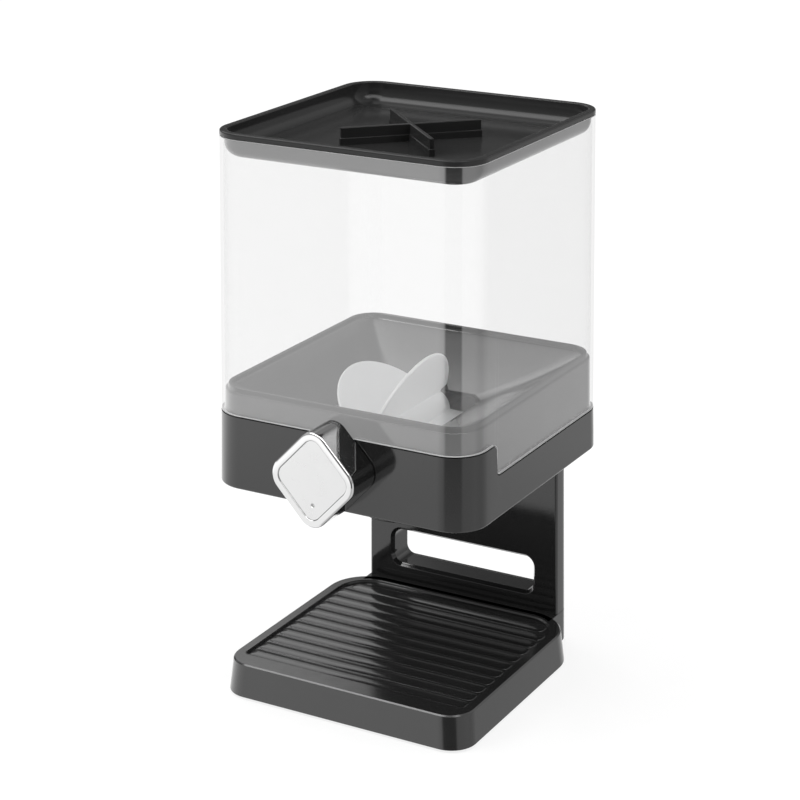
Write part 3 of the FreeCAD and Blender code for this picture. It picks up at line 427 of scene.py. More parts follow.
def soft_silicone():
    """Milky white silicone: light passes through the thin vanes, the skin is slightly dusty, and a faint
    emission paints extra light onto the vanes.
    """
    material, n = new_material("soft_silicone")
    colour = n.grey(n.span(n.noise(35.0, 3.0), 0.90, 0.96))
    polish = n.span(n.noise(200.0, 4.0), 0.38, 0.5)
    surface = n.bump(n.noise(900.0, 2.0), 0.2, 0.0002)
    # The faint emission on the skin is a painted glow that brightens the vanes.
    skin = n.add("ShaderNodeBsdfPrincipled", {"Base Color": colour, "Roughness": polish, "IOR": 1.41,
                                              "Normal": surface, "Emission Color": colour,
                                              "Emission Strength": 0.04})
    glow = n.add("ShaderNodeBsdfTranslucent", {"Color": colour, "Normal": surface})
    n.add("ShaderNodeOutputMaterial", {"Surface": n.mix(0.3, skin.outputs[0], glow.outputs[0])})
    return material


def bright_metal(name, tone, rough_low, rough_high, ripple, stretch=(1, 1, 1)):
    """Plated or machined metal with uneven polish along stretch."""
    material, n = new_material(name)
    polish = n.span(n.noise(220.0, 5.0, stretch), rough_low, rough_high)
    colour = n.grey(n.span(n.noise(25.0, 3.0), tone * 0.96, tone))
    surface = n.bump(n.noise(30.0, 2.0, stretch), 0.15, ripple)
    shader = n.add("ShaderNodeBsdfPrincipled", {"Base Color": colour, "Metallic": 1.0, "Roughness": polish,
                                                "Normal": surface})
    n.add("ShaderNodeOutputMaterial", {"Surface": shader.outputs[0]})
    return material


GLOSS_BLACK = moulded_plastic("gloss_black", 0.010, 0.014, 0.06, 0.12, 2500.0, 0.00002, 1.45)
HOPPER_BLACK = moulded_plastic("hopper_black", 0.012, 0.018, 0.06, 0.12, 2500.0, 0.00002, 1.58, 0.004)
LID_BLACK = moulded_plastic("lid_black", 0.018, 0.024, 0.13, 0.19, 2200.0, 0.00003, 1.24)
TRAY_BLACK = moulded_plastic("tray_black", 0.012, 0.018, 0.13, 0.20, 2200.0, 0.00003, 1.46)
SATIN_BLACK = moulded_plastic("satin_black", 0.008, 0.014, 0.30, 0.42, 1800.0, 0.00008)
DARK_RUBBER = moulded_plastic("dark_rubber", 0.012, 0.022, 0.65, 0.80, 1500.0, 0.00015)
ACETAL = moulded_plastic("white_acetal", 0.70, 0.76, 0.30, 0.40, 1500.0, 0.00004)
CLEAR = clear_plastic()
EDGE_PAINTED_HIGHLIGHT = edge_painted_highlight()
SILICONE = soft_silicone()
CHROME = bright_metal("bright_chrome", 0.44, 0.02, 0.06, 0.00002)
SATIN_PLATE = bright_metal("satin_plate", 0.42, 0.22, 0.30, 0.00002)
STEEL = bright_metal("machined_steel", 0.50, 0.25, 0.40, 0.00005, (1, 12, 1))


# ---- canister and lid -----------------------------------------------------------------------------

CANISTER_BOX = millimetre_box("canister")
HOUSING_BOX = millimetre_box("housing_shell")
LID_BOX = millimetre_box("lid_tray")
GASKET_BOX = millimetre_box("lid_gasket")

CANISTER_RADIUS = 20.0
CANISTER_WALL = 1.8
DEPTH_EXTRA = CANISTER_BOX[1].y - CANISTER_BOX[1].x
CANISTER_TOP_Z = CANISTER_BOX[1].z
CANISTER_TOP_HALF = CANISTER_BOX[1].x
CANISTER_LOW_HALF = HOUSING_BOX[1].x
SKIRT_GAP = 0.15
SKIRT_FRONT_Z = HOUSING_BOX[1].z + SKIRT_GAP
SKIRT_SIDE_Z = CANISTER_BOX[0].z
SKIRT_STEP_Y = -54.0
SKIRT_STEP_RADIUS = 4.0


def wall_ring(half, radius, inset=0.0):
    """Outline of the canister and the parts that follow it, which are slightly deeper than wide."""
    return inset_ring(half, half + DEPTH_EXTRA, radius, inset)


def canister_half(z):
    """Half the width of the canister at height z; the walls lean out towards the top."""
    rise = (z - SKIRT_FRONT_Z) / (CANISTER_TOP_Z - SKIRT_FRONT_Z)
    return CANISTER_LOW_HALF + (CANISTER_TOP_HALF - CANISTER_LOW_HALF) * rise


def skirt_step():
    """The stepped edge on the side of the skirt, from the front level down to the side level."""
    r = SKIRT_STEP_RADIUS
    path = rounded_path([(SKIRT_STEP_Y - r - 1, SKIRT_FRONT_Z, 0), (SKIRT_STEP_Y, SKIRT_FRONT_Z, r),
                         (SKIRT_STEP_Y, SKIRT_SIDE_Z, r), (SKIRT_STEP_Y + r + 1, SKIRT_SIDE_Z, 0)], 6)
    return [(point.x, point.y) for point in path]


def skirt_ring(half_at, radius, shift=0.0, flat_z=None):
    """Ring of a wall that follows the stepped edge, or lies level at flat_z.

    half_at(z) is half the width at height z. On a level ring the points of the step spread out along Y.
    """
    step = skirt_step()
    spread_low = SKIRT_STEP_Y - 7
    spread_high = SKIRT_STEP_Y + 9

    def corner(sign_x, sign_y, start, z):
        half = half_at(z)
        points = []
        for k in range(ARC_STEPS + 1):
            angle = math.radians(start + 90 * k / ARC_STEPS)
            x = sign_x * (half - radius) + radius * math.cos(angle)
            y = sign_y * (half + DEPTH_EXTRA - radius) + radius * math.sin(angle)
            points.append((x, y, z))
        return points

    def side(sign_x):
        points = []
        for k, (y, z) in enumerate(step):
            if flat_z is not None:
                z = flat_z
                y = spread_low + (spread_high - spread_low) * k / (len(step) - 1)
            else:
                z -= shift
                y -= shift
            points.append((sign_x * half_at(z), y, z))
        return points

    front_z = SKIRT_FRONT_Z - shift if flat_z is None else flat_z
    rear_z = SKIRT_SIDE_Z - shift if flat_z is None else flat_z
    ring = corner(1, -1, 270, front_z) + side(1) + corner(1, 1, 0, rear_z)
    return ring + corner(-1, 1, 90, rear_z) + side(-1)[::-1] + corner(-1, -1, 180, front_z)


def canister():
    """Clear wall with the stepped skirt; its cut edges get the pale frosted colour and faint glow of the
    painted edge highlight.
    """
    inner = CANISTER_RADIUS - CANISTER_WALL

    def inner_half(z):
        return canister_half(z) - CANISTER_WALL

    rings = [skirt_ring(canister_half, CANISTER_RADIUS),
             skirt_ring(canister_half, CANISTER_RADIUS, flat_z=CANISTER_TOP_Z),
             skirt_ring(inner_half, inner, flat_z=CANISTER_TOP_Z),
             skirt_ring(inner_half, inner)]
    piece = loft("canister_wall", rings, loop=True)
    finish_piece(piece, CLEAR, "canister", "canister", bevel=0.45)
    # The flat edge faces and the faces beside the step take the painted edge highlight.
    piece.data.materials.append(EDGE_PAINTED_HIGHLIGHT)
    for face in piece.data.polygons:
        on_step = abs(face.normal.y) > 0.3 and face.center.z < SKIRT_FRONT_Z * MM
        beside_step = abs(face.center.y / MM - CENTRE_Y - SKIRT_STEP_Y) < 2 * SKIRT_STEP_RADIUS
        if abs(face.normal.z) > 0.3 or (on_step and beside_step):
            face.material_index = 1


LID_PLUG_INSET = 2.6
LID_FLOOR_Z = 302.3
GRIP_HALF_LENGTH = 42.0
GRIP_THICK = 2.6
GRIP_FOOT_STEP = 0.6
GRIP_FOOT_HEIGHT = 3.9
GRIP_TOP_Z = 312.3


def grip_bar(angle):
    """One bar of the cross-shaped grip: a thin blade on a slightly thicker foot."""
    path = rounded_path([(0.0, LID_FLOOR_Z - 1.0, 0), (0.0, LID_FLOOR_Z + GRIP_FOOT_HEIGHT, 0.25),
                         (GRIP_FOOT_STEP, LID_FLOOR_Z + GRIP_FOOT_HEIGHT + 0.1, 0.1),
                         (GRIP_FOOT_STEP, GRIP_TOP_Z, 0.5), (GRIP_FOOT_STEP + 0.9, GRIP_TOP_Z, 0)], 3)
    long = GRIP_HALF_LENGTH + GRIP_FOOT_STEP
    thick = GRIP_THICK / 2 + GRIP_FOOT_STEP
    rings = []
    for inset, z in path:
        radius = max(1.2 - inset, 0.15)
        ring = rounded_ring(-long + inset, long - inset, -thick + inset, thick - inset, radius, radius, 4)
        rings.append(level(ring, z))
    return move(loft("grip_bar", rings), Matrix.Rotation(math.radians(angle), 4, "Z"))


def lid():
    """Dished lid with its plug below and the cross-shaped grip in the dish."""
    top = LID_BOX[1].z
    under = LID_BOX[0].z
    rim_low = GASKET_BOX[1].z
    path = rounded_path([(20.0, under, 0), (LID_PLUG_INSET + 0.5, under, 8.5), (LID_PLUG_INSET, rim_low, 0),
                         (0.0, rim_low, 0.3), (0.0, top, 1.0), (4.4, top, 0.8), (5.6, LID_FLOOR_Z, 11.0),
                         (24.0, LID_FLOOR_Z, 0)], 9)
    rings = [level(wall_ring(CANISTER_TOP_HALF, CANISTER_RADIUS, inset), z) for inset, z in path]
    piece = loft("lid_dish", rings)
    grip = combine(grip_bar(45), grip_bar(-45), "UNION")
    combine(piece, grip, "UNION")
    finish_piece(piece, LID_BLACK, "lid", "lid_tray")


def gasket():
    """Seal under the lid's rim, set back a little from the wall."""
    low, high = GASKET_BOX
    path = rounded_path([(1.2, low.z, 0), (0.4, low.z, 0.15), (0.4, high.z, 0.15), (1.2, high.z, 0)], 3)
    rings = [level(wall_ring(CANISTER_TOP_HALF, CANISTER_RADIUS, inset), z) for inset, z in path]
    rings.append(level(wall_ring(CANISTER_TOP_HALF, CANISTER_RADIUS, 2.0), high.z))
    rings.append(level(wall_ring(CANISTER_TOP_HALF, CANISTER_RADIUS, 2.0), low.z))
    finish_piece(loft("lid_seal", rings, loop=True), DARK_RUBBER, "lid", "lid_gasket")


# ---- housing, hopper and chute --------------------------------------------------------------------

AXIS_BOX = millimetre_box("drive_shaft")
AXIS_Z = (AXIS_BOX[0].z + AXIS_BOX[1].z) / 2
CHUTE_BOX = millimetre_box("outlet_chute")
HOPPER_BOX = millimetre_box("hopper_funnel")
CHAMBER_Y = -10.0
CHAMBER_RADIUS = 46.0
CHAMBER_WALL = 2.2
HOUSING_WALL = 1.8
HOUSING_EDGE = 1.2
SEAM_GAP = 0.55
BORE_RADIUS = 7.05


def turned_along_y(name, path, steps=48, loop=False):
    """Turned piece about the shaft's axis: path holds (radius, y)."""
    rings = []
    for radius, y in path:
        ring = []
        for k in range(steps):
            angle = 2 * math.pi * k / steps
            ring.append((radius * math.cos(angle), y, AXIS_Z + radius * math.sin(angle)))
        rings.append(ring)
    return loft(name, rings, loop)


def housing():
    """Shell that carries the canister, open at the top, with the chamber's hole in its floor."""
    half = CANISTER_LOW_HALF
    bottom = HOUSING_BOX[0].z
    floor = bottom + 2.5
    hole = CHAMBER_RADIUS - 2.4
    inner = half - HOUSING_WALL
    inner_radius = CANISTER_RADIUS - HOUSING_WALL

    def outer_ring(inset, z):
        return skirt_ring(lambda height: half - inset, CANISTER_RADIUS - inset, flat_z=z)

    def around(ring, z):
        flat = [(x, y) for x, y, _ in ring]
        return level(circle_from(flat, hole, CHAMBER_Y), z)

    base = outer_ring(HOUSING_EDGE, bottom)
    rings = [around(base, floor), around(base, bottom)]
    path = rounded_path([(HOUSING_EDGE + 2, bottom, 0), (0.0, bottom, HOUSING_EDGE),
                         (0.0, bottom + 10, 0)], 6)
    rings += [outer_ring(inset, z) for inset, z in path]
    rings.append(skirt_ring(canister_half, CANISTER_RADIUS, shift=SEAM_GAP))
    rings.append(skirt_ring(lambda z: canister_half(z) - HOUSING_WALL, inner_radius, shift=SEAM_GAP))
    rings.append(skirt_ring(lambda z: inner, inner_radius, flat_z=floor))
    piece = loft("housing_casing", rings, loop=True)
    bore = turned_along_y("bore", [(BORE_RADIUS, HOUSING_BOX[0].y - 2), (BORE_RADIUS, HOUSING_BOX[0].y + 5)])
    combine(piece, bore, "DIFFERENCE")
    finish_piece(piece, GLOSS_BLACK, "stand", "housing_shell", bevel=0.4, sharp=50.0)


def ball_radius(radius, z):
    """Radius at height z of a ball round the middle of the chamber."""
    return math.sqrt(max(radius * radius - (z - AXIS_Z) ** 2, 0.0))


COLLAR_HALF = 80.8
COLLAR_RADIUS = 17.9
COLLAR_WALL = 2.2
LIP_HEIGHT = 2.4
COLLAR_TOP_Z = HOPPER_BOX[1].z
COLLAR_BOTTOM_Z = 132.0
THROAT_Z = 152.0


def hopper():
    """Collar inside the skirt, slope down to the round throat, and the upper half of the chamber."""
    throat = ball_radius(CHAMBER_RADIUS, THROAT_Z)
    outline = wall_ring(COLLAR_HALF, COLLAR_RADIUS)

    def collar(inset, z):
        return level(wall_ring(COLLAR_HALF, COLLAR_RADIUS, inset), z)

    def circle(radius, z):
        return level(circle_from(outline, radius, CHAMBER_Y), z)

    shoulder_z = COLLAR_TOP_Z - LIP_HEIGHT
    rings = [collar(inset, z) for inset, z in rounded_path(
        [(COLLAR_WALL, COLLAR_BOTTOM_Z, 0), (0, COLLAR_BOTTOM_Z, 0.5), (0, shoulder_z, 1.0),
         (1.2, shoulder_z, 0.15), (1.9, COLLAR_TOP_Z, 0.6), (3.6, COLLAR_TOP_Z, 0.7),
         (4.0, COLLAR_TOP_Z - 3, 1.5), (6.5, COLLAR_TOP_Z - 4.5, 0)], 5)]
    slope_top = rings[-1]
    slope_end = circle(throat + 1.0, THROAT_Z + 0.8)
    slope_steps = 10
    for k in range(1, slope_steps + 1):
        t = k / slope_steps
        sag = -1.5 * math.sin(math.pi * t)
        rings.append([(a[0] + (b[0] - a[0]) * t, a[1] + (b[1] - a[1]) * t, a[2] + (b[2] - a[2]) * t + sag)
                      for a, b in zip(slope_top, slope_end)])
    rings.append(circle(throat + 0.3, THROAT_Z + 0.1))
    for k in range(7):
        z = THROAT_Z - 0.6 - (THROAT_Z - 0.6 - AXIS_Z) * k / 6
        rings.append(circle(ball_radius(CHAMBER_RADIUS, z), z))
    flange = CHAMBER_RADIUS + 10
    outer = CHAMBER_RADIUS + CHAMBER_WALL
    rings += [circle(flange, AXIS_Z), circle(flange, AXIS_Z + 2.5), circle(outer + 0.5, AXIS_Z + 2.5),
              circle(ball_radius(outer, THROAT_Z - 3), THROAT_Z - 3),
              collar(6.0, COLLAR_TOP_Z - 7.5), collar(COLLAR_WALL, COLLAR_TOP_Z - 8.5)]
    piece = loft("hopper_insert", rings, loop=True)
    combine(piece, turned_along_y("bore", [(BORE_RADIUS, -90), (BORE_RADIUS, 60)]), "DIFFERENCE")
    front = -COLLAR_HALF - DEPTH_EXTRA
    notch = rounded_ring(-11, 11, front - 2, front + 4, 0.5, 0.5, 2)
    slot = loft("notch", [level(notch, COLLAR_BOTTOM_Z - 1), level(notch, AXIS_Z + 11)])
    combine(piece, slot, "DIFFERENCE")
    finish_piece(piece, HOPPER_BLACK, "stand", "hopper_funnel")


def chute():
    """Lower half of the chamber with its flange, and the spout below."""
    bottom = CHUTE_BOX[0].z
    spout = 23.0
    meet = AXIS_Z - math.sqrt(CHAMBER_RADIUS ** 2 - spout ** 2)
    outer = CHAMBER_RADIUS + CHAMBER_WALL
    spout_outer = spout + CHAMBER_WALL
    meet_outer = AXIS_Z - math.sqrt(outer ** 2 - spout_outer ** 2)
    path = []
    for k in range(13):
        z = AXIS_Z + (meet - AXIS_Z) * math.sin(math.pi / 2 * k / 12)
        path.append((ball_radius(CHAMBER_RADIUS, z), z))
    path += [(spout, bottom + 0.6), (spout + 0.6, bottom), (spout_outer - 0.6, bottom),
             (spout_outer, bottom + 0.6), (spout_outer, meet_outer - 0.8)]
    for k in range(13):
        z = meet_outer + (AXIS_Z - 2.5 - meet_outer) * (1 - math.cos(math.pi / 2 * k / 12))
        path.append((ball_radius(outer, z), z))
    flange = CHAMBER_RADIUS + 10
    path += [(flange - 0.4, AXIS_Z - 2.5), (flange, AXIS_Z - 2.1), (flange, AXIS_Z)]
    piece = revolve("outlet_spout", path, (0.0, CHAMBER_Y), 72, loop=True)
    combine(piece, turned_along_y("bore", [(BORE_RADIUS, -90), (BORE_RADIUS, 60)]), "DIFFERENCE")
    finish_piece(piece, SATIN_BLACK, "stand", "outlet_chute")


# ---- paddle wheel ---------------------------------------------------------------------------------

VANE_COUNT = 5
VANE_RADIUS = 44.7
VANE_THICK = 2.0
VANE_EDGE = 0.7
VANE_FIRST_ANGLE = 40.0
SLEEVE_RADIUS = 11.0
SLEEVE_BORE = 9.1
SLEEVE_HALF = 38.0
VANE_ROOT = 9.5


def vane(index):
    """Half disc, thicker at its root than at its rim, turned to its place round the shaft."""
    arc_count = 40
    rings = []
    path = rounded_path([(VANE_EDGE * 3, -VANE_THICK / 2, 0), (0, -VANE_THICK / 2 + 0.1, VANE_EDGE),
                         (0, VANE_THICK / 2 - 0.1, VANE_EDGE), (VANE_EDGE * 3, VANE_THICK / 2, 0)], 5)
    for inset, height in path:
        radius = VANE_RADIUS - inset
        reach = math.acos(VANE_ROOT / radius)
        ring = []
        for k in range(arc_count + 1):
            angle = -reach + 2 * reach * k / arc_count
            ring.append((radius * math.cos(angle), CHAMBER_Y + radius * math.sin(angle), height))
        rings.append(ring)
    piece = loft("vane", rings)
    turn = math.radians(180.0 + VANE_FIRST_ANGLE + index * 360.0 / VANE_COUNT)
    about = Matrix.Translation((0, CHAMBER_Y, AXIS_Z)) @ Matrix.Rotation(turn, 4, "Y")
    return move(piece, about @ Matrix.Translation((0, -CHAMBER_Y, 0)))


def paddle():
    """Sleeve on the hub with its vanes."""
    front = CHAMBER_Y - SLEEVE_HALF
    rear = CHAMBER_Y + SLEEVE_HALF
    path = rounded_path([(SLEEVE_BORE, front, 0), (SLEEVE_RADIUS, front, 0.8),
                         (SLEEVE_RADIUS, rear, 0.8), (SLEEVE_BORE, rear, 0)], 4)
    piece = turned_along_y("paddle_wheel", path, 64, loop=True)
    for index in range(VANE_COUNT):
        combine(piece, vane(index), "UNION")
    finish_piece(piece, SILICONE, "rotor", "paddle_vanes", sharp=40.0)


# ---- knob -----------------------------------------------------------------------------------------

KNOB_BOX = millimetre_box("knob_body")
PLATE_BOX = millimetre_box("knob_face_plate")
KNOB_HALF = 20.9
KNOB_RADIUS = 9.9
KNOB_TURN = 45.0
KNOB_RING = 4.2
KNOB_RECESS = 2.4
DENT_RADIUS = 1.3
DENT_CENTRE_OUT = 0.6
DENT_PLACE = (0.2, -13.5)


def knob_ring(inset, y):
    """Outline of the knob at depth y: a rounded square turned on to its corner."""
    turn = math.radians(KNOB_TURN)
    ring = []
    for a, b in inset_ring(KNOB_HALF, KNOB_HALF, KNOB_RADIUS, inset):
        x = a * math.cos(turn) - b * math.sin(turn)
        z = a * math.sin(turn) + b * math.cos(turn)
        ring.append((x, y, AXIS_Z + z))
    return ring


def knob():
    """Chrome shell with a raised ring round its face and a neck at the back."""
    front = KNOB_BOX[0].y
    back = KNOB_BOX[1].y
    floor = front + KNOB_RECESS
    path = rounded_path([(5.0, back - 8, 0), (2.4, back - 8, 0.8), (2.4, back, 0.3), (0.0, back, 0.5),
                         (0.0, front, 1.5), (KNOB_RING, front, 0.5), (KNOB_RING, floor, 0.3),
                         (KNOB_RING + 1.5, floor, 0)], 6)
    piece = loft("knob_shell", [knob_ring(inset, y) for inset, y in path])
    finish_piece(piece, CHROME, "rotor", "knob_body")


def knob_plate():
    """Satin plate let into the knob, with its round index dent."""
    front = PLATE_BOX[0].y
    rear = PLATE_BOX[1].y
    edge = KNOB_RING + 0.05
    path = rounded_path([(edge + 1.5, rear, 0), (edge, rear, 0.1), (edge, front, 0.2),
                         (edge + 4.0, front, 0)], 4)
    piece = loft("knob_plate", [knob_ring(inset, y) for inset, y in path])
    dent = bpy.data.meshes.new("dent")
    work = bmesh.new()
    bmesh.ops.create_uvsphere(work, u_segments=24, v_segments=16, radius=DENT_RADIUS * MM)
    work.to_mesh(dent)
    work.free()
    ball = bpy.data.objects.new("dent", dent)
    bpy.context.scene.collection.objects.link(ball)
    place = Vector((DENT_PLACE[0], front - DENT_CENTRE_OUT + CENTRE_Y, AXIS_Z + DENT_PLACE[1])) * MM
    ball.data.transform(Matrix.Translation(place))
    combine(piece, ball, "DIFFERENCE")
    finish_piece(piece, SATIN_PLATE, "rotor", "knob_face_plate")


# ---- base and column ------------------------------------------------------------------------------

BASE_BOX = millimetre_box("base_shell")
COLUMN_BOX = millimetre_box("column_front_shell")
BASE_HALF = BASE_BOX[1].x
BASE_FRONT_Y = BASE_BOX[0].y
BASE_REAR_Y = 62.0
BASE_TOP_Z = BASE_BOX[1].z
BASE_BOTTOM_Z = BASE_BOX[0].z
BASE_DRAFT = 1.5
BASE_FRONT_RADIUS = 15.0
BASE_REAR_RADIUS = 25.0
BASE_WALL = 2.2
BASE_CHAMFER = 0.7
BASE_CEILING_Z = BASE_TOP_Z - 2 * BASE_WALL
HEEL_FRONT_Y = 40.0
COLUMN_HALF = COLUMN_BOX[1].x
COLUMN_REAR_RADIUS = 10.0

TRAY_HALF = 69.5
TRAY_FRONT_Y = -68.5
TRAY_REAR_Y = 55.0
TRAY_DEPTH = 1.4
RIB_COUNT = 11
RIB_PITCH = 10.67
RIB_WIDTH = 9.4
RIB_HEIGHT = 0.7
RIB_HALF_LENGTH = 68.4
RIB_END_RADIUS = 3.4


def base_ring(inset, z):
    """Outline of the base, drafted inwards with height."""
    drawn_in = inset + BASE_DRAFT * (z - BASE_BOTTOM_Z) / (BASE_TOP_Z - BASE_BOTTOM_Z)
    ring = rounded_ring(-BASE_HALF + drawn_in, BASE_HALF - drawn_in, BASE_FRONT_Y + drawn_in,
                        BASE_REAR_Y - drawn_in, BASE_FRONT_RADIUS - inset, BASE_REAR_RADIUS - inset)
    return level(ring, z)


def heel_ring(inset, z):
    """Outline of the heel, which follows the column's plan."""
    half = COLUMN_HALF - inset
    rear = COLUMN_BOX[1].y - inset
    return level(rounded_ring(-half, half, HEEL_FRONT_Y, rear, 1.0, COLUMN_REAR_RADIUS - inset), z)


def tray_ring(inset, z):
    """Outline of the tray's recess."""
    ring = rounded_ring(-TRAY_HALF + inset, TRAY_HALF - inset, TRAY_FRONT_Y + inset, TRAY_REAR_Y - inset,
                        3.0 - min(inset, 2.0), 20.0 - inset)
    return level(ring, z)


def tray_rib(index):
    """Low crowned bar with rounded ends, let slightly into the tray floor."""
    floor = BASE_TOP_Z - TRAY_DEPTH
    middle = TRAY_FRONT_Y + 0.6 + RIB_PITCH * (index + 0.5)
    half_width = RIB_WIDTH / 2
    half_length = RIB_HALF_LENGTH - (4.2 if index == RIB_COUNT - 1 else 0.0)
    crown_steps = 9
    rings = [level(rounded_ring(-half_length, half_length, middle - half_width, middle + half_width,
                                RIB_END_RADIUS, RIB_END_RADIUS, 8), floor - 0.3)]
    for k in range(crown_steps):
        rise = math.pi / 2 * k / crown_steps
        inset = half_width * (1 - math.cos(rise))
        z = floor + RIB_HEIGHT * math.sin(rise)
        radius = max(RIB_END_RADIUS - inset, 0.25)
        ring = rounded_ring(-half_length + inset, half_length - inset, middle - half_width + inset,
                            middle + half_width - inset, radius, radius, 8)
        rings.append(level(ring, z))
    return loft("rib", rings)


def base():
    """Hollow base with the ribbed tray, and the heel behind it that the column stands on."""
    edge = rounded_path([(4.0, BASE_BOTTOM_Z, 0), (0.0, BASE_BOTTOM_Z, 0.5),
                         (0.0, BASE_TOP_Z - BASE_CHAMFER, 0.2), (BASE_CHAMFER, BASE_TOP_Z, 0.2),
                         (3.0, BASE_TOP_Z, 0)], 4)
    rings = [base_ring(inset, z) for inset, z in edge]
    floor = BASE_TOP_Z - TRAY_DEPTH
    dip = rounded_path([(-1.2, BASE_TOP_Z, 0), (0.0, BASE_TOP_Z, 0.5), (0.4, floor, 0.4),
                        (2.0, floor, 0)], 4)
    rings += [tray_ring(inset, z) for inset, z in dip]
    piece = loft("base_tray", rings)
    heel_edge = rounded_path([(4.0, BASE_BOTTOM_Z, 0), (0.0, BASE_BOTTOM_Z, 0.5), (0.0, BASE_TOP_Z, 0.35),
                              (4.0, BASE_TOP_Z, 0)], 4)
    heel = loft("heel", [heel_ring(inset, z) for inset, z in heel_edge])
    combine(heel, tray_cutter(), "DIFFERENCE")
    combine(piece, heel, "UNION")
    below = BASE_BOTTOM_Z - 1
    hollow = loft("hollow", [base_ring(BASE_WALL, below), base_ring(BASE_WALL, BASE_CEILING_Z)])
    combine(piece, hollow, "DIFFERENCE")
    hollow = loft("hollow", [heel_ring(BASE_WALL, below), heel_ring(BASE_WALL, BASE_CEILING_Z)])
    combine(piece, hollow, "DIFFERENCE")
    for index in range(RIB_COUNT):
        append(piece, tray_rib(index))
    finish_piece(piece, TRAY_BLACK, "stand", "base_shell", sharp=40.0)


def tray_cutter():
    """Keeps the heel clear of the tray's recess."""
    return loft("cutter", [tray_ring(-1.5, BASE_TOP_Z - 4), tray_ring(-1.5, BASE_TOP_Z + 4)])


SLOT_HALF = 47.0
SLOT_LOW_Z = 29.0
SLOT_HIGH_Z = 49.0
SLOT_RADIUS = 5.5
SLOT_BEVEL = 1.6
COLUMN_FRONT_RADIUS = 1.5
COVER_BOX = millimetre_box("column_rear_cover")


def slot_ring(grow, y):
    """Outline of the column's slot at depth y."""
    ring = rounded_ring(-SLOT_HALF - grow, SLOT_HALF + grow, SLOT_LOW_Z - grow, SLOT_HIGH_Z + grow,
                        SLOT_RADIUS + grow, SLOT_RADIUS + grow, 8)
    return [(x, y, z) for x, z in ring]


def column_ring(inset_x, inset_z, y):
    """Face outline of the column at depth y."""
    corner = 0.4
    ring = rounded_ring(-COLUMN_HALF + inset_x, COLUMN_HALF - inset_x, COLUMN_BOX[0].z + inset_z,
                        COLUMN_BOX[1].z - inset_z, corner, corner, 8)
    return [(x, y, z) for x, z in ring]


def column():
    """Column shell from the slot's mouth round to the recess that takes the rear cover."""
    front = COLUMN_BOX[0].y
    rear = COLUMN_BOX[1].y
    cover_gap = 0.3
    recess = COVER_BOX[0].y - 0.1
    cover_inset_x = COLUMN_HALF - COVER_BOX[1].x - cover_gap
    cover_inset_z = COVER_BOX[0].z - COLUMN_BOX[0].z - cover_gap
    mouth = rounded_path([(0.0, recess, 0), (0.0, front + SLOT_BEVEL + 0.6, 0.4),
                          (0.5, front + SLOT_BEVEL, 0.2), (SLOT_BEVEL, front, 0.5),
                          (SLOT_BEVEL + 2.0, front, 0)], 4)
    rings = [slot_ring(grow, y) for grow, y in mouth]
    body = rounded_path([(5.0, front, 0), (0.0, front, COLUMN_FRONT_RADIUS), (0.0, rear, COLUMN_REAR_RADIUS),
                         (cover_inset_x - 0.5, rear, 0)], 8)
    for inset, y in body:
        rings.append(column_ring(inset, 0.0, y))
    rings.append(column_ring(cover_inset_x, cover_inset_z, rear))
    rings.append(column_ring(cover_inset_x, cover_inset_z, recess))
    piece = loft("column_casing", rings, loop=True)
    finish_piece(piece, GLOSS_BLACK, "stand", "column_front_shell")


# ---- small parts ----------------------------------------------------------------------------------


def feet():
    """Turned rubber feet with a soft lower edge and a shallow hollow that grips the table."""
    low, high = millimetre_box("rubber_feet")
    radius = 6.5
    piece = None
    path = rounded_path([(1.0, low.z + 0.5, 0), (3.6, low.z + 0.5, 0.3), (4.1, low.z, 0.3),
                         (radius, low.z, 0.6), (radius, high.z, 0.1), (1.0, high.z, 0)], 4)
    for x in (low.x + radius, high.x - radius):
        for y in (low.y + radius, high.y - radius):
            foot = revolve("foot_pads", path, (x, y), 40)
            piece = foot if piece is None else append(piece, foot)
    finish_piece(piece, DARK_RUBBER, "stand", "rubber_feet")


SCREW_HEAD_RADIUS = 2.8
SCREW_SHANK_RADIUS = 1.5


def screw(head_height, length):
    """Pan-head screw with its head above Z = 0, its shank below, and a cross recess in the head."""
    path = rounded_path([(0.4, head_height, 0), (SCREW_HEAD_RADIUS * 0.8, head_height, head_height * 0.5),
                         (SCREW_HEAD_RADIUS, head_height * 0.25, 0.2), (SCREW_HEAD_RADIUS, 0.0, 0.05),
                         (SCREW_SHANK_RADIUS, 0.0, 0.1), (SCREW_SHANK_RADIUS, -length + 1.0, 0.2),
                         (0.3, -length, 0)], 4)
    piece = revolve("screw", path, (0.0, 0.0), 32)
    for angle in (0, 90):
        arm = rounded_ring(-1.35, 1.35, -0.28, 0.28, 0.15, 0.15, 2)
        tip = rounded_ring(-0.5, 0.5, -0.2, 0.2, 0.1, 0.1, 2)
        blade = loft("blade", [level(tip, head_height * 0.35), level(arm, head_height + 0.2)])
        move(blade, Matrix.Rotation(math.radians(angle), 4, "Z"))
        combine(piece, blade, "DIFFERENCE")
    return piece


def screw_group(node, name, head_height, length, turn, places):
    """Copies of one screw at the given places, as one piece."""
    master = screw(head_height, length)
    piece = None
    for place in places:
        copy = bpy.data.objects.new(name, master.data.copy())
        bpy.context.scene.collection.objects.link(copy)
        move(copy, Matrix.Translation(place) @ turn)
        piece = copy if piece is None else append(piece, copy)
    bpy.data.objects.remove(master)
    finish_piece(piece, STEEL, "stand", node, sharp=30.0)


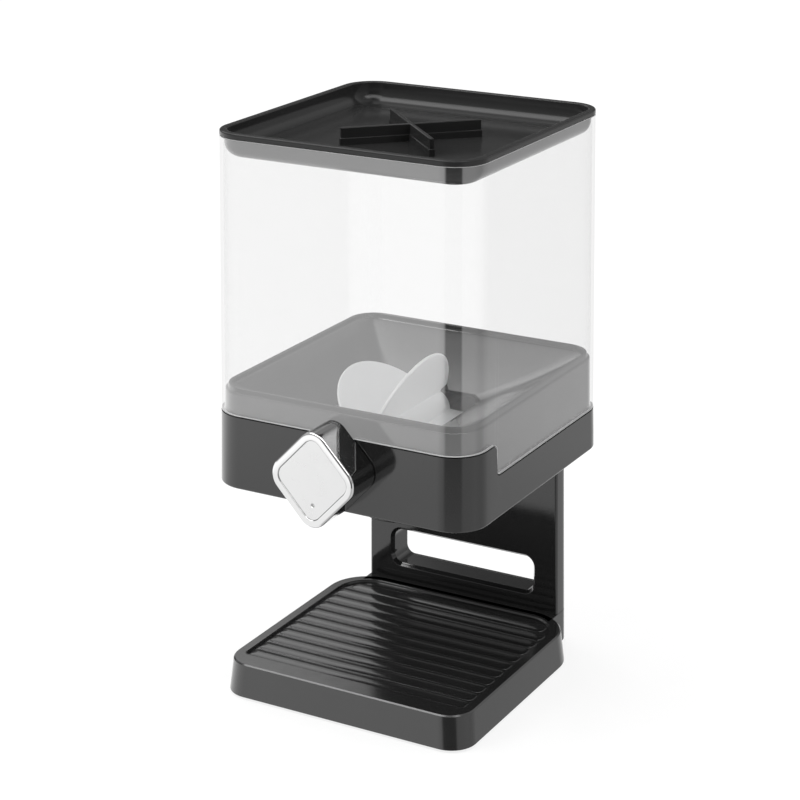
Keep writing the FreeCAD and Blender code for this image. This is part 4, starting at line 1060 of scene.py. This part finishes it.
def visible_screws():
    """The screws under the base and behind the column."""
    head = SCREW_HEAD_RADIUS
    low, high = millimetre_box("base_cover_screws")
    seat = millimetre_box("base_cover")[0].z
    places = [(x, y, seat) for x in (low.x + head, high.x - head) for y in (low.y + head, high.y - head)]
    screw_group("base_cover_screws", "base_screws", 0.95, 9.5, Matrix.Rotation(math.pi, 4, "X"), places)
    low, high = millimetre_box("column_cover_screws")
    seat = COVER_BOX[1].y - 1.15
    places = [(x, seat, z) for x in (low.x + head, high.x - head) for z in (low.z + head, high.z - head)]
    turn = Matrix.Rotation(-math.pi / 2, 4, "X")
    screw_group("column_cover_screws", "column_screws", 1.05, 9.5, turn, places)


def carried_over():
    """CAD pieces that keep their own shape: a soft edge and a material each."""
    finishes = {"base_cover": SATIN_BLACK, "column_rear_cover": SATIN_BLACK, "column_foot_screws": STEEL,
                "column_head_screws": STEEL, "hopper_screws": STEEL, "chute_screws": STEEL,
                "front_bush": ACETAL, "rear_bush": ACETAL, "drive_shaft": STEEL, "shaft_clip": STEEL,
                "paddle_hub": ACETAL, "knob_screw": STEEL}
    for node, material in finishes.items():
        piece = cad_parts[node]
        for slot in piece.material_slots:
            slot.material = material
        modifier = piece.modifiers.new("edge", "BEVEL")
        modifier.width = 0.2 * MM
        modifier.segments = 2
        modifier.limit_method = "ANGLE"
        modifier.angle_limit = math.radians(40)
        weighted = piece.modifiers.new("even_flats", "WEIGHTED_NORMAL")
        weighted.keep_sharp = True


# ---- studio and camera ----------------------------------------------------------------------------

CAMERA_AZIMUTH = 29.034
CAMERA_DISTANCE = 1335.15
CAMERA_HEIGHT = 597.05
CAMERA_LENS = 104.41
CAMERA_SENSOR = 36.0
CAMERA_SHIFT_X = -0.01413
CAMERA_SHIFT_Y = -0.96468
FLOOR_GLOW = 0.81
FLOOR_HALF_WIDTH = 9.0


def floor():
    """Pale floor that glows slightly, so that it stays white with a faint contact shadow."""
    material, n = new_material("pale_floor")
    colour = n.grey(n.span(n.noise(40.0, 3.0), 0.23, 0.26))
    paint = n.add("ShaderNodeBsdfDiffuse", {"Color": colour})
    glow = n.add("ShaderNodeEmission", {"Color": (1, 1, 1, 1), "Strength": FLOOR_GLOW})
    both = n.add("ShaderNodeAddShader", {0: paint.outputs[0], 1: glow.outputs[0]})
    n.add("ShaderNodeOutputMaterial", {"Surface": both.outputs[0]})
    size = FLOOR_HALF_WIDTH
    mesh = bpy.data.meshes.new("floor")
    corners = [(-size, -size, 0), (size, -size, 0), (size, size, 0), (-size, size, 0)]
    mesh.from_pydata(corners, [], [(0, 1, 2, 3)])
    piece = bpy.data.objects.new("floor", mesh)
    bpy.context.scene.collection.objects.link(piece)
    piece.data.materials.append(material)
    piece.visible_glossy = False
    piece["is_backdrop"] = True


def studio():
    """White surroundings. Surfaces see the bands of light, and polished ones the strip in front too."""
    world = bpy.data.worlds.new("studio")
    bpy.context.scene.world = world
    world.use_nodes = True
    n = Nodes(world.node_tree)
    direction = n.add("ShaderNodeTexCoord").outputs["Generated"]
    around, parts = studio_light(n, direction)
    height = parts.outputs["Z"]
    rise = n.add("ShaderNodeMapRange", {"Value": height, "From Min": STRIP_RISE[0],
                                        "From Max": STRIP_RISE[1], "To Max": STRIP_STRENGTH})
    fall = n.add("ShaderNodeMapRange", {"Value": height, "From Min": STRIP_FALL[0],
                                        "From Max": STRIP_FALL[1], "To Min": 1.0, "To Max": 0.0})
    front = n.add("ShaderNodeMapRange", {"Value": parts.outputs["Y"], "From Min": 0.05, "From Max": -0.10})
    strip = n.math("MULTIPLY", rise.outputs["Result"], fall.outputs["Result"])
    path = n.add("ShaderNodeLightPath")
    polished = n.math("MINIMUM", path.outputs["Glossy Depth"], 1.0)
    seen = n.math("MULTIPLY", polished, front.outputs["Result"])
    lights = n.math("ADD", around, n.math("MULTIPLY", strip, seen))
    bounces = n.math("ADD", path.outputs["Glossy Depth"], path.outputs["Diffuse Depth"])
    bounced = n.math("MINIMUM", bounces, 1.0)
    strength = n.add("ShaderNodeMix", {0: bounced, 2: BACKGROUND_STRENGTH, 3: lights})
    back = n.add("ShaderNodeBackground", {"Color": (1, 1, 1, 1), "Strength": strength.outputs[0]})
    n.add("ShaderNodeOutputWorld", {"Surface": back.outputs[0]})


def key_light():
    """Large soft light from the upper left, for gentle shading on dull surfaces."""
    light = bpy.data.lights.new("key", "AREA")
    light.shape = "RECTANGLE"
    light.size = 1.2
    light.size_y = 0.9
    light.energy = 14.0
    lamp = bpy.data.objects.new("key", light)
    bpy.context.scene.collection.objects.link(lamp)
    lamp.location = (-1.1, -0.9, 1.5)
    lamp.rotation_euler = (Vector((0, 0, 0.15)) - lamp.location).to_track_quat("-Z", "Y").to_euler()
    lamp.visible_glossy = False


def camera():
    """Level camera with a strong downward shift, so that upright edges stay upright in the view."""
    data = bpy.data.cameras.new("camera")
    data.lens = CAMERA_LENS
    data.sensor_width = CAMERA_SENSOR
    data.clip_end = 100.0
    viewer = bpy.data.objects.new("camera", data)
    bpy.context.scene.collection.objects.link(viewer)
    turn = math.radians(CAMERA_AZIMUTH)
    viewer.location = (CAMERA_DISTANCE * math.sin(turn) * MM,
                       (CENTRE_Y - CAMERA_DISTANCE * math.cos(turn)) * MM, CAMERA_HEIGHT * MM)
    viewer.rotation_euler = (math.pi / 2, 0, turn)
    bpy.context.scene.camera = viewer
    follow_aim(viewer, "shift_x", CAMERA_SHIFT_X)
    follow_aim(viewer, "shift_y", CAMERA_SHIFT_Y)


def follow_aim(viewer, setting, full):
    """Gives a shift its full value for the level view, and none when the camera points at the object.

    The driver compares the camera's downward pitch with the pitch that would aim at the object's middle.
    """
    low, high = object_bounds()
    middle = (low + high) / 2
    offset = viewer.location - middle
    level_drop = offset.z / math.hypot(offset.x, offset.y)
    driver = viewer.data.driver_add(setting).driver
    channels = {"x": "LOC_X", "y": "LOC_Y", "z": "LOC_Z", "tilt": "ROT_X"}
    for name, channel in channels.items():
        variable = driver.variables.new()
        variable.name = name
        variable.type = "TRANSFORMS"
        variable.targets[0].id = viewer
        variable.targets[0].transform_type = channel
        variable.targets[0].rotation_mode = "XYZ"
    across = f"sqrt(pow(x - {middle.x:.5f}, 2) + pow(y - {middle.y:.5f}, 2))"
    driver.expression = (f"{full} / {level_drop:.5f} * "
                         f"tan(atan2(z - {middle.z:.5f}, {across}) + tilt - pi / 2)")


def build():
    """Makes every piece, then the studio and the camera."""
    canister()
    lid()
    gasket()
    housing()
    hopper()
    chute()
    paddle()
    knob()
    knob_plate()
    base()
    column()
    feet()
    visible_screws()
    carried_over()
    floor()
    studio()
    key_light()
    camera()
    bpy.context.scene.view_settings.view_transform = "Standard"


build()
